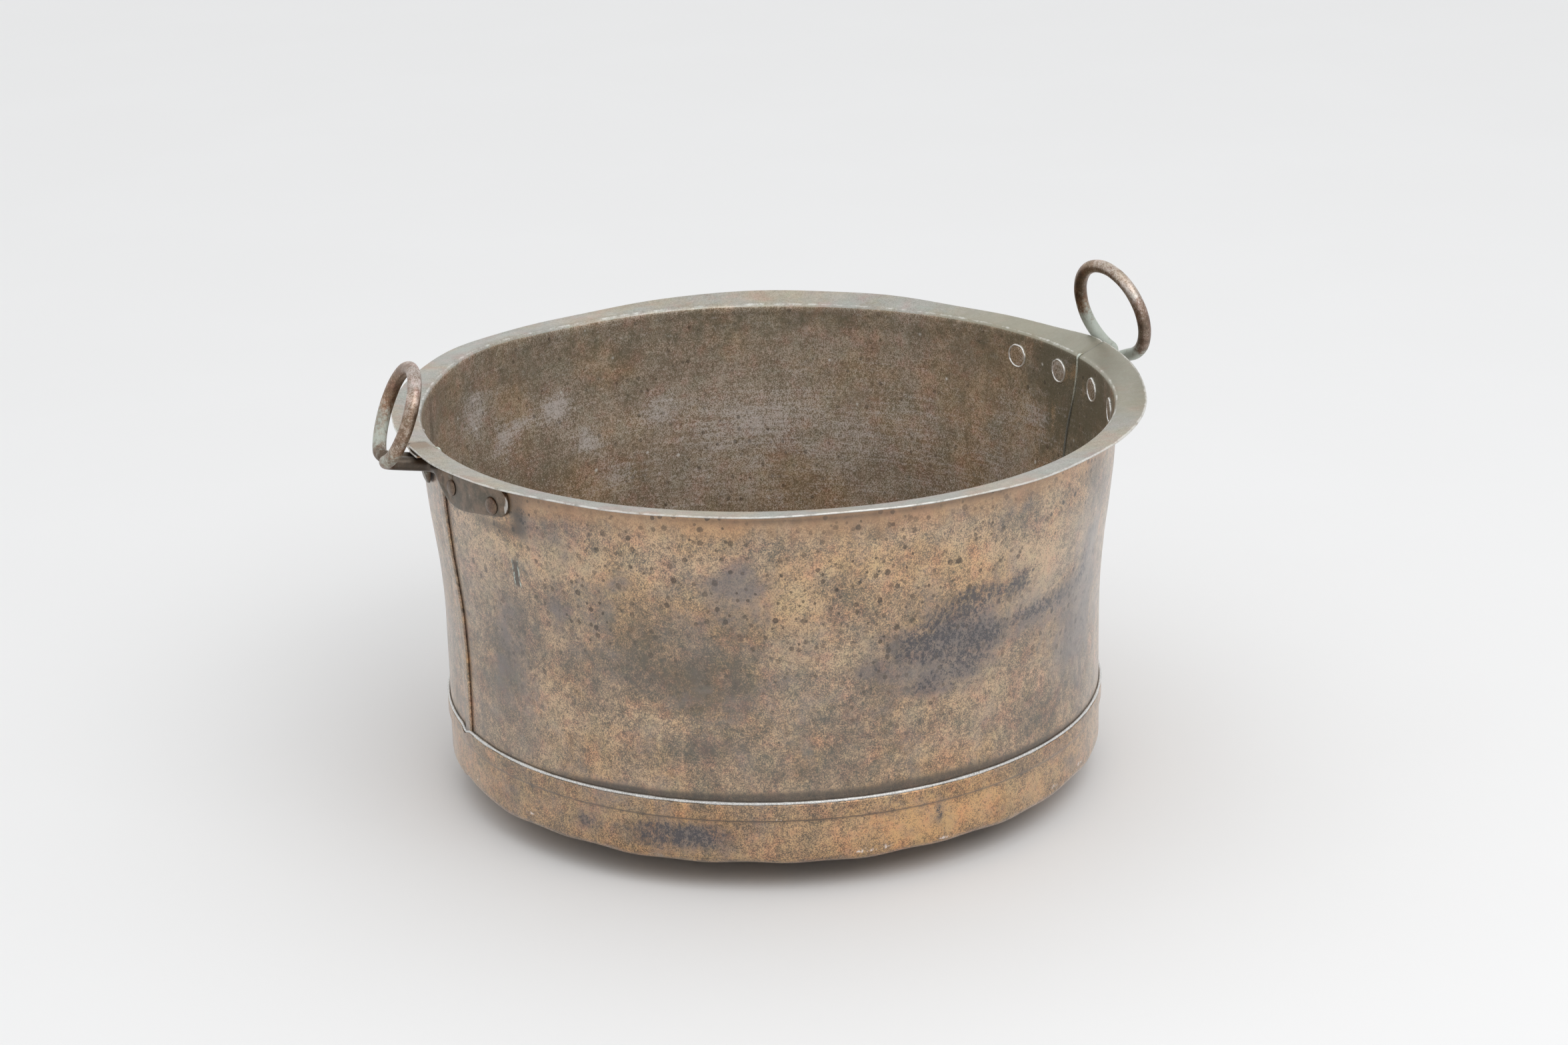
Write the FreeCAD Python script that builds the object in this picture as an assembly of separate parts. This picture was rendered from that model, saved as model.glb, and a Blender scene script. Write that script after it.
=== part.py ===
import FreeCAD, Part
import math
import os
from FreeCAD import Vector

# Copper wash tub.  Millimetres, +Z up, floor at Z = 0, axis of the tub on Z.
# +X points through the right handle and -X through the left one; the front is -Y.

# Wall: two half rounds of sheet with a turned-out flange
WALL_SHEET = 1.8            # thickness of the wall sheet
WALL_RADIUS = 284.0         # outside of the straight lower wall
WALL_FLARE = 12.5           # how much wider the wall is under the flange
FLARE_START = 135.0         # height at which the wall begins to widen
RIM_HEIGHT = 335.5          # top of the flange's outer edge
FLANGE_WIDTH = 23.5         # flange, from the wall's outside to its edge
FLANGE_RISE = 10.0          # degrees the flange climbs outwards
FLANGE_BEND = 3.0           # radius under the flange's bend

# Bottom pan, let up outside the foot of the wall
PAN_SHEET = 2.3             # thickness of the pan
SHOULDER_HEIGHT = 66.0      # shoulder in the pan that the wall stands on
LAP_HEIGHT = 14.0           # how far the pan's lap reaches up the wall
SKIRT_STEP = 1.8            # how far the lap stands out from the skirt
STEP_HEIGHT = 2.0           # height over which the step is made
KNUCKLE_HEIGHT = 33.5       # height at which the skirt turns into the base
KNUCKLE_RADIUS = 9.0        # outside radius of that turn
BASE_FLAT_RADIUS = 110.0    # worn flat that the tub stands on

# Wall seams
LEFT_SEAM_ANGLE = 183.5     # degrees from +X
RIGHT_SEAM_ANGLE = 0.7
BRAZE_WIDTH = 1.5           # gap between the two halves, filled with braze
SEAM_LAP = 11.0             # lap of the rear half over the front half
SEAM_ROOT = 5.0             # where the lap strip grows out of the rear half
SOLDER_RISE = 3.0           # height of the solder run on the pan's lap

# Handles: one bar each, bent to a ring with two legs and two feet, centred on the wall seams
BAR_RADIUS = 5.7
RIGHT_RING_RADIUS = 42.8    # to the middle of the bar
LEFT_RING_RADIUS = 39.3
RING_BEND = 9.0             # bend from ring to leg, measured from its start to its corner
LEG_SPACING = 13.0          # between the middles of the two legs
LEG_CLIMB = 11.0            # degrees the legs climb outwards
LEG_DROP = 7.0              # flange bend down to the leg's middle at the wall
ROOT_BEND = 9.0             # bend from leg to foot
RIGHT_STANDOFF = 18.2       # rim edge to the middle of the bar at the ring's foot
RIGHT_LEAN = 15.1           # degrees the ring leans in over the rim
RIGHT_TWIST = 12.2          # degrees the ring is bent round, counter-clockwise from above
LEFT_STANDOFF = 24.8
LEFT_LEAN = 21.6
LEFT_TWIST = -7.1
FOOT_THICKNESS = 3.2
FOOT_DEPTH = 34.0           # height of the flattened foot
FOOT_LENGTH = 112.5         # along the wall, from the handle's middle
FOOT_TIP_RISE = 11.0        # how much the lower edge has risen at the foot's tip
FOOT_RISE_START = 46.0      # along the wall, where the lower edge starts to rise
FOOT_CORNER = 10.0          # rounding of the foot's tip
FOOT_DROP = 2.0             # flange bend down to the foot's top edge
TAPER_LENGTH = 11.0         # where the round bar flattens into the foot

# Rivets, two in each foot
RIVET_NEAR = 33.0           # along the wall, from the handle's middle
RIVET_FAR = 94.0
SHANK_RADIUS = 3.9
INNER_HEAD_RADIUS = 9.5
INNER_HEAD_HEIGHT = 1.9
OUTER_HEAD_RADIUS = 7.5
OUTER_HEAD_HEIGHT = 3.0
TIN_WIDTH = 2.2             # ring of tin round the inner head
TIN_HEIGHT = 1.1

# Clearances
SOLDER_GAP = 0.2            # wall to the pan's lap
SEAT_GAP = 0.1              # foot, lap strip and rivet heads to the wall
RIVET_GAP = 0.1             # shank to its hole

ORIGIN = Vector(0, 0, 0)
UP = Vector(0, 0, 1)

rise = math.radians(FLANGE_RISE)
wall_top_radius = WALL_RADIUS + WALL_FLARE
rim_radius = wall_top_radius + FLANGE_WIDTH
flange_length = (FLANGE_WIDTH - FLANGE_BEND + FLANGE_BEND * math.sin(rise)) / math.cos(rise)
bend_height = (RIM_HEIGHT - flange_length * math.sin(rise)
               - (FLANGE_BEND + WALL_SHEET) * math.cos(rise))
flare_height = bend_height - FLARE_START
flare_angle = 2 * math.atan(WALL_FLARE / flare_height)
flare_radius = flare_height / (2 * math.sin(flare_angle))

lap_top = SHOULDER_HEIGHT + LAP_HEIGHT
foot_top = bend_height - FOOT_DROP
foot_bottom = foot_top - FOOT_DEPTH
rivet_height = foot_top - FOOT_DEPTH / 2


def at(radius, height):
    """A point of a profile, in the XZ plane."""
    return Vector(radius, 0, height)


def on_circle(centre, radius, angle):
    """A point on a circle of the XZ plane; the angle is from +X towards +Z."""
    return centre + Vector(radius * math.cos(angle), 0, radius * math.sin(angle))


def arc_edge(centre, radius, start, end):
    """An arc of the XZ plane between two angles."""
    middle = (start + end) / 2
    return Part.Arc(on_circle(centre, radius, start), on_circle(centre, radius, middle),
                    on_circle(centre, radius, end)).toShape()


def line_edge(start, end):
    return Part.LineSegment(start, end).toShape()


def close_outline(first, second):
    """Face between two open chains of edges that run the same way."""
    first_wire = Part.Wire(first)
    second_wire = Part.Wire(second)
    first_ends = first_wire.OrderedVertexes
    second_ends = second_wire.OrderedVertexes
    start = line_edge(first_ends[0].Point, second_ends[0].Point)
    end = line_edge(first_ends[-1].Point, second_ends[-1].Point)
    edges = first + second + [start, end]
    return Part.Face(Part.Wire(Part.__sortEdges__(edges)))


def turn(face, start, end):
    """Solid swept round Z between two angles in degrees."""
    solid = face.revolve(ORIGIN, UP, end - start)
    solid.rotate(ORIGIN, UP, start)
    return solid


def degrees_along(length, radius):
    """Angle taken up by a length along the wall."""
    return math.degrees(length / radius)


def wall_radius_at(height):
    """Outside radius of the wall."""
    middle = FLARE_START + flare_height / 2
    if height <= FLARE_START:
        return WALL_RADIUS
    if height <= middle:
        up = height - FLARE_START
        return WALL_RADIUS + flare_radius - math.sqrt(flare_radius ** 2 - up ** 2)
    down = max(bend_height - height, 0.0)
    return wall_top_radius - flare_radius + math.sqrt(flare_radius ** 2 - down ** 2)


def wall_line(depth, bottom):
    """Edges of the wall's section, from its foot to the flange's bend.

    Depth is measured inwards from the wall's outside.
    """
    low_centre = at(WALL_RADIUS + flare_radius, FLARE_START)
    high_centre = at(wall_top_radius - flare_radius, bend_height)
    low_radius = flare_radius + depth
    high_radius = flare_radius - depth
    straight = line_edge(at(WALL_RADIUS - depth, bottom), at(WALL_RADIUS - depth, FLARE_START))
    low = arc_edge(low_centre, low_radius, math.pi, math.pi - flare_angle)
    high = arc_edge(high_centre, high_radius, -flare_angle, 0.0)
    return [straight, low, high]


def flange_line(depth):
    """Edges of the section from the bend to the flange's edge."""
    centre = at(wall_top_radius + FLANGE_BEND, bend_height)
    radius = FLANGE_BEND + depth
    end_angle = math.pi / 2 + rise
    bend_end = on_circle(centre, radius, end_angle)
    outward = Vector(math.cos(rise), 0, math.sin(rise))
    bend = arc_edge(centre, radius, math.pi, end_angle)
    return [bend, line_edge(bend_end, bend_end + outward * flange_length)]


def wall_face(bottom):
    """Section of the wall sheet with its flange."""
    outside = wall_line(0.0, bottom) + flange_line(0.0)
    inside = wall_line(WALL_SHEET, bottom) + flange_line(WALL_SHEET)
    return close_outline(outside, inside)


def band(inner_depth, outer_depth, bottom, top, start, end):
    """Strip that follows the wall between two heights and two angles."""
    face = close_outline(wall_line(outer_depth, SHOULDER_HEIGHT),
                         wall_line(inner_depth, SHOULDER_HEIGHT))
    width = 2 * rim_radius
    slice_face = Part.makePlane(width, top - bottom, at(0, bottom), Vector(0, -1, 0), Vector(1, 0, 0))
    strip = face.common(slice_face).Faces[0]
    return turn(strip, start, end)


def rivet_angles():
    """Angles of one handle's rivets from the handle's middle."""
    radius = wall_radius_at(rivet_height)
    near = degrees_along(RIVET_NEAR, radius)
    far = degrees_along(RIVET_FAR, radius)
    return [-far, -near, near, far]


def rivet_bore(radius):
    """Round bar through wall and foot, lying along +X at the rivets' height."""
    outside = wall_radius_at(rivet_height)
    return Part.makeCylinder(radius, 60, Vector(outside - 30, 0, rivet_height), Vector(1, 0, 0))


def drill(solid, middle):
    """Cut one handle's four rivet holes."""
    for angle in rivet_angles():
        hole = rivet_bore(SHANK_RADIUS + RIVET_GAP)
        hole.rotate(ORIGIN, UP, middle + angle)
        solid = solid.cut(hole)
    return solid


def half_gap():
    return degrees_along(BRAZE_WIDTH / 2, WALL_RADIUS)


def make_front_wall():
    start = LEFT_SEAM_ANGLE + half_gap()
    end = RIGHT_SEAM_ANGLE + 360 - half_gap()
    solid = turn(wall_face(SHOULDER_HEIGHT), start, end)
    solid = drill(solid, RIGHT_SEAM_ANGLE)
    return drill(solid, LEFT_SEAM_ANGLE)


def lap_strip(seam, forward):
    """Strip of the rear half that laps over the front half, below the handle's foot."""
    bottom = lap_top + SOLDER_RISE + 1.0
    top = foot_bottom - 1.0
    root = degrees_along(SEAM_ROOT, WALL_RADIUS)
    lap = degrees_along(SEAM_LAP, WALL_RADIUS)
    edge = half_gap()
    outer = -(SEAT_GAP + WALL_SHEET)
    if forward:
        strip = band(-SEAT_GAP, outer, bottom, top, seam - edge - root, seam + lap)
        base = band(WALL_SHEET / 2, outer / 2, bottom, top, seam - edge - root, seam - edge)
    else:
        strip = band(-SEAT_GAP, outer, bottom, top, seam - lap, seam + edge + root)
        base = band(WALL_SHEET / 2, outer / 2, bottom, top, seam + edge, seam + edge + root)
    return strip.fuse(base)


def make_rear_wall():
    start = RIGHT_SEAM_ANGLE + half_gap()
    end = LEFT_SEAM_ANGLE - half_gap()
    solid = turn(wall_face(SHOULDER_HEIGHT), start, end)
    solid = drill(solid, RIGHT_SEAM_ANGLE)
    solid = drill(solid, LEFT_SEAM_ANGLE)
    solid = solid.fuse(lap_strip(LEFT_SEAM_ANGLE, True))
    return solid.fuse(lap_strip(RIGHT_SEAM_ANGLE, False))


def make_seam_braze(seam):
    return turn(wall_face(SHOULDER_HEIGHT), seam - half_gap(), seam + half_gap())


def pan_line(depth, lap_radius, skirt_radius):
    """Edges of the pan's section from the skirt to the middle of the base."""
    knuckle = at(skirt_radius - KNUCKLE_RADIUS, KNUCKLE_HEIGHT)
    reach = knuckle.x - BASE_FLAT_RADIUS
    drop = KNUCKLE_HEIGHT - KNUCKLE_RADIUS
    dish_radius = (reach ** 2 + KNUCKLE_HEIGHT ** 2 - KNUCKLE_RADIUS ** 2) / (2 * drop)
    dish = at(BASE_FLAT_RADIUS, dish_radius)
    slope = math.asin(reach / (dish_radius - KNUCKLE_RADIUS))
    turn_end = slope - math.pi / 2
    skirt_top = SHOULDER_HEIGHT if depth else SHOULDER_HEIGHT - STEP_HEIGHT
    radius = skirt_radius - depth
    edges = [line_edge(at(lap_radius, lap_top), at(lap_radius, SHOULDER_HEIGHT))]
    edges.append(line_edge(at(lap_radius, SHOULDER_HEIGHT), at(radius, skirt_top)))
    edges.append(line_edge(at(radius, skirt_top), at(radius, KNUCKLE_HEIGHT)))
    edges.append(arc_edge(knuckle, KNUCKLE_RADIUS - depth, 0.0, turn_end))
    edges.append(arc_edge(dish, dish_radius - depth, turn_end, -math.pi / 2))
    edges.append(line_edge(at(BASE_FLAT_RADIUS, depth), at(0, depth)))
    return edges


def make_bottom_pan():
    lap_inside = WALL_RADIUS + SOLDER_GAP
    lap_outside = lap_inside + PAN_SHEET
    skirt_radius = lap_outside - SKIRT_STEP
    outside = pan_line(0.0, lap_outside, skirt_radius)
    inside = pan_line(PAN_SHEET, lap_inside, skirt_radius)
    return turn(close_outline(outside, inside), 0, 360)


def make_bottom_seam_solder():
    """Run of solder on the pan's lap, against the wall."""
    inner = WALL_RADIUS + SOLDER_GAP / 2
    outer = WALL_RADIUS + SOLDER_GAP + PAN_SHEET * 0.9
    top = lap_top + SOLDER_RISE
    shoulder = at(outer - PAN_SHEET * 0.2, lap_top + SOLDER_RISE * 0.55)
    corners = [at(inner, lap_top), at(outer, lap_top), shoulder, at(inner, top), at(inner, lap_top)]
    return turn(Part.Face(Part.makePolygon(corners)), 0, 360)


def bend(start, before, after, length):
    """Arc that turns from one direction to another, and its end.

    Length is from the start to the corner that the arc rounds.
    """
    corner = start + before * length
    end = corner + after * length
    half = before.getAngle(after) / 2
    radius = length / math.tan(half)
    inside = (after - before).normalize()
    middle = corner + inside * (radius / math.cos(half) - radius)
    return Part.Arc(start, middle, end), end


def handle_path(ring_radius, standoff, lean, twist):
    """Middle line of a bar, from one foot's root round the ring to the other's."""
    climb = math.radians(LEG_CLIMB)
    inward = Vector(-math.cos(climb), 0, -math.sin(climb))
    outward = Vector(math.cos(twist), math.sin(twist), 0)
    sideways = Vector(-math.sin(twist), math.cos(twist), 0)
    ring_up = UP * math.cos(lean) - outward * math.sin(lean)
    root_radius = wall_top_radius + SEAT_GAP + BAR_RADIUS
    foot_radius = rim_radius + standoff
    leg_height = bend_height - LEG_DROP
    foot_height = leg_height + (foot_radius - root_radius) * math.tan(climb)

    # Angle from the ring's foot at which the bar leaves the ring for the leg
    reach = math.hypot(ring_radius, RING_BEND)
    leave = math.asin(LEG_SPACING / 2 / reach) + math.atan2(RING_BEND, ring_radius)
    leg_below = ring_radius * math.cos(leave) + RING_BEND * math.sin(leave)
    centre = Vector(foot_radius, 0, foot_height) + ring_up * leg_below
    top = centre + ring_up * ring_radius

    halves = []
    for side in (1, -1):
        across = sideways * side
        down = across * -math.cos(leave) - ring_up * math.sin(leave)
        leaves = (centre + across * (ring_radius * math.sin(leave))
                  - ring_up * (ring_radius * math.cos(leave)))
        ring_turn, leg_start = bend(leaves, down, inward, RING_BEND)
        leg_end_x = root_radius + ROOT_BEND * math.cos(climb)
        leg_end = leg_start + inward * ((leg_start.x - leg_end_x) / math.cos(climb))
        leg = Part.LineSegment(leg_start, leg_end)
        root_turn, root = bend(leg_end, inward, Vector(0, side, 0), ROOT_BEND)
        halves.append((leaves, root, [ring_turn, leg, root_turn]))

    (first_leaves, first_root, first_parts), (second_leaves, second_root, second_parts) = halves
    ring = Part.Arc(first_leaves, top, second_leaves)
    edges = [curve.toShape() for curve in reversed(first_parts)]
    edges.append(ring.toShape())
    edges.extend(curve.toShape() for curve in second_parts)
    return Part.Wire(Part.__sortEdges__(edges)), first_root, second_root


def foot_taper(root, side):
    """The stretch in which the round bar flattens into the foot."""
    across = Vector(0, side, 0)
    start = Part.Wire(Part.makeCircle(BAR_RADIUS, root, across))
    end_y = root.y + side * TAPER_LENGTH
    wall = wall_radius_at(root.z) + SEAT_GAP
    end_x = math.sqrt((wall + FOOT_THICKNESS / 2) ** 2 - end_y ** 2)
    middle = Vector(end_x, end_y, root.z)
    tall = foot_top - root.z - 1.0
    flat = Part.Ellipse(ORIGIN, tall, FOOT_THICKNESS / 2).toShape()
    flat.rotate(ORIGIN, Vector(1, 0, 0), 90)
    flat.rotate(ORIGIN, Vector(0, 1, 0), 90)
    flat.rotate(ORIGIN, UP, 90)
    flat.translate(middle)
    return start, Part.Wire(flat)


def rise_cut(side, radius):
    """Wedge that takes the foot's lower edge up towards its tip."""
    start_y = side * radius * math.sin(FOOT_RISE_START / radius)
    tip_y = side * radius * math.sin(FOOT_LENGTH / radius)
    past_y = 2 * tip_y - start_y
    start = Vector(0, start_y, foot_bottom)
    past = Vector(0, past_y, foot_bottom + 2 * FOOT_TIP_RISE)
    below = Vector(0, past_y, foot_bottom - FOOT_TIP_RISE)
    face = Part.Face(Part.makePolygon([start, past, below, start]))
    return face.extrude(Vector(2 * rim_radius, 0, 0))


def make_foot(side):
    """Flattened foot along the wall, narrower at its rounded tip."""
    radius = wall_radius_at(rivet_height) + SEAT_GAP
    near = degrees_along(LEG_SPACING / 2 + ROOT_BEND, radius)
    far = degrees_along(FOOT_LENGTH, radius)
    start, end = (near, far) if side > 0 else (-far, -near)
    foot = band(-SEAT_GAP, -SEAT_GAP - FOOT_THICKNESS, foot_bottom, foot_top, start, end)
    foot = foot.cut(rise_cut(side, radius + FOOT_THICKNESS / 2))
    tip = math.radians(far * side)
    tip_bottom = foot_bottom + FOOT_TIP_RISE
    corners = []
    for edge in foot.Edges:
        middle = edge.CenterOfMass
        across = abs(math.atan2(middle.y, middle.x) - tip) < 1e-3
        level = min(abs(middle.z - tip_bottom), abs(middle.z - foot_top)) < 0.5
        if across and level:
            corners.append(edge)
    return foot.makeFillet(FOOT_CORNER, corners)


def make_handle(ring_radius, standoff, lean, twist):
    path, first_root, second_root = handle_path(ring_radius, standoff, math.radians(lean),
                                                math.radians(twist))
    section = Part.Wire(Part.makeCircle(BAR_RADIUS, first_root, Vector(0, 1, 0)))
    solid = path.makePipeShell([section], True, False)
    for root, side in ((first_root, 1), (second_root, -1)):
        start, end = foot_taper(root, side)
        solid = solid.fuse(Part.makeLoft([start, end], True))
        solid = solid.fuse(make_foot(side))
    core = Part.Face(Part.Wire(Part.__sortEdges__(
        wall_line(-SEAT_GAP, SHOULDER_HEIGHT)
        + [line_edge(at(wall_top_radius + SEAT_GAP, bend_height), at(0, bend_height)),
           line_edge(at(0, bend_height), at(0, SHOULDER_HEIGHT)),
           line_edge(at(0, SHOULDER_HEIGHT), at(WALL_RADIUS + SEAT_GAP, SHOULDER_HEIGHT))])))
    solid = solid.cut(turn(core, 0, 360))
    return drill(solid, 0)


def make_rivet():
    """One rivet along +X: flat head inside, low domed head on the foot."""
    outside = wall_radius_at(rivet_height)
    axis = Vector(1, 0, 0)
    inner_face = outside - WALL_SHEET - INNER_HEAD_HEIGHT
    outer_face = outside + SEAT_GAP + FOOT_THICKNESS + SEAT_GAP

    head = Part.makeCylinder(INNER_HEAD_RADIUS, INNER_HEAD_HEIGHT + WALL_SHEET / 2,
                             Vector(inner_face, 0, rivet_height), axis)
    rim = [edge for edge in head.Edges
           if abs(edge.CenterOfMass.x - inner_face) < 1e-6 and edge.Closed]
    head = head.makeFillet(INNER_HEAD_HEIGHT * 0.45, rim)
    head = head.cut(band(WALL_SHEET + SEAT_GAP, 0.0, foot_bottom, foot_top, -10, 10))

    ball = (OUTER_HEAD_RADIUS ** 2 + OUTER_HEAD_HEIGHT ** 2) / (2 * OUTER_HEAD_HEIGHT)
    dome = Part.makeSphere(ball, Vector(outer_face + OUTER_HEAD_HEIGHT - ball, 0, rivet_height))
    seat = Part.makeCylinder(OUTER_HEAD_RADIUS + 1, OUTER_HEAD_HEIGHT + 1,
                             Vector(outer_face, 0, rivet_height), axis)
    dome = dome.common(seat)

    shank_start = inner_face + INNER_HEAD_HEIGHT / 2
    shank = Part.makeCylinder(SHANK_RADIUS, outer_face + OUTER_HEAD_HEIGHT / 2 - shank_start,
                              Vector(shank_start, 0, rivet_height), axis)
    return shank.fuse([head, dome]).removeSplitter()


def make_tin_ring():
    """Ring of tin round one inner head, lying on the wall."""
    outside = wall_radius_at(rivet_height)
    axis = Vector(1, 0, 0)
    start = Vector(outside - WALL_SHEET - TIN_HEIGHT, 0, rivet_height)
    hole_radius = INNER_HEAD_RADIUS + SEAT_GAP
    length = TIN_HEIGHT + WALL_SHEET / 2
    ring = Part.makeCylinder(hole_radius + TIN_WIDTH, length, start, axis)
    ring = ring.cut(Part.makeCylinder(hole_radius, length, start, axis))
    return ring.cut(band(WALL_SHEET + SEAT_GAP / 2, 0.0, foot_bottom, foot_top, -10, 10))


def round_handle(solid, middle):
    """Four copies of a solid at one handle's rivet places."""
    copies = []
    for angle in rivet_angles():
        copy = solid.copy()
        copy.rotate(ORIGIN, UP, middle + angle)
        copies.append(copy)
    return Part.makeCompound(copies)


def turned(solid, angle):
    copy = solid.copy()
    copy.rotate(ORIGIN, UP, angle)
    return copy


left_handle = make_handle(LEFT_RING_RADIUS, LEFT_STANDOFF, LEFT_LEAN, LEFT_TWIST)
right_handle = make_handle(RIGHT_RING_RADIUS, RIGHT_STANDOFF, RIGHT_LEAN, RIGHT_TWIST)
rivet = make_rivet()
tin_ring = make_tin_ring()

nodes = {
    "front_wall": make_front_wall(),
    "rear_wall": make_rear_wall(),
    "bottom_pan": make_bottom_pan(),
    "bottom_seam_solder": make_bottom_seam_solder(),
    "left_seam_braze": make_seam_braze(LEFT_SEAM_ANGLE),
    "right_seam_braze": make_seam_braze(RIGHT_SEAM_ANGLE),
    "left_handle": turned(left_handle, LEFT_SEAM_ANGLE),
    "right_handle": turned(right_handle, RIGHT_SEAM_ANGLE),
    "left_handle_rivets": round_handle(rivet, LEFT_SEAM_ANGLE),
    "right_handle_rivets": round_handle(rivet, RIGHT_SEAM_ANGLE),
    "left_rivet_tin": round_handle(tin_ring, LEFT_SEAM_ANGLE),
    "right_rivet_tin": round_handle(tin_ring, RIGHT_SEAM_ANGLE),
}

os.makedirs("parts", exist_ok=True)
for name, shape in nodes.items():
    if not shape.isValid():
        raise ValueError(name + " is not a valid shape")
    shape.exportStep("parts/" + name + ".step")
    box = shape.BoundBox
    print(name, len(shape.Solids), "solid(s)", round(shape.Volume / 1000.0, 2), "cm3",
          [round(value, 1) for value in (box.XMin, box.XMax, box.YMin, box.YMax, box.ZMin, box.ZMax)])
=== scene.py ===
import math
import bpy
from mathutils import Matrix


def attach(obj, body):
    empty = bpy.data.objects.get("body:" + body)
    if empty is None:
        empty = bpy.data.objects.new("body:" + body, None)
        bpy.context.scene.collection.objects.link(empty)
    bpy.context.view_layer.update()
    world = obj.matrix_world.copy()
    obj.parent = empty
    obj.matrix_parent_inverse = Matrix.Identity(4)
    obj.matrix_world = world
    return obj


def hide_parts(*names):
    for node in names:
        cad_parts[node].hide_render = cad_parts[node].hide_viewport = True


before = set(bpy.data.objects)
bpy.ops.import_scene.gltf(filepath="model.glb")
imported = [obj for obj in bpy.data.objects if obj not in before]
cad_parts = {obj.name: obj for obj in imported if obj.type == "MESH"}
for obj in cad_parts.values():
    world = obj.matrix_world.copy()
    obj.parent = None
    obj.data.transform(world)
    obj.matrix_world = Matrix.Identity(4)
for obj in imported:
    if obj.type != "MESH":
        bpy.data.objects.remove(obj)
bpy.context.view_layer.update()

from types import SimpleNamespace

import bmesh
import bpy
import numpy as np
from bpy.props import FloatProperty, FloatVectorProperty, IntProperty, PointerProperty
from mathutils import Matrix, Vector, noise

bl_info = {
    "name": "Copper wash tub",
    "version": (1, 0, 0),
    "blender": (4, 5, 0),
    "location": "View3D > Sidebar > Wash tub",
    "description": "Builds an aged copper wash tub with riveted ring handles, piece by piece",
    "category": "Add Mesh",
}

BODY = "root"
FULL_TURN = 2 * math.pi
BAR_SIDES = 28
PAN_STEPS = 420
SHEET_RADIUS = 0.29
MM_PER_DEGREE = 5.06
PATINA_COLOURS = ("Dark colour", "Middle colour", "Light colour", "Tarnish colour")
MADE = {}


def length(label, note, default):
    return FloatProperty(name=label, description=note, default=default, min=0.0, unit="LENGTH", precision=4)


def turn_size(label, note, degrees):
    return FloatProperty(name=label, description=note, default=math.radians(degrees), subtype="ANGLE")


def colour(label, note, *shade):
    return FloatVectorProperty(name=label, description=note, default=shade, min=0.0, max=1.0,
                               subtype="COLOR", size=3)


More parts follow.
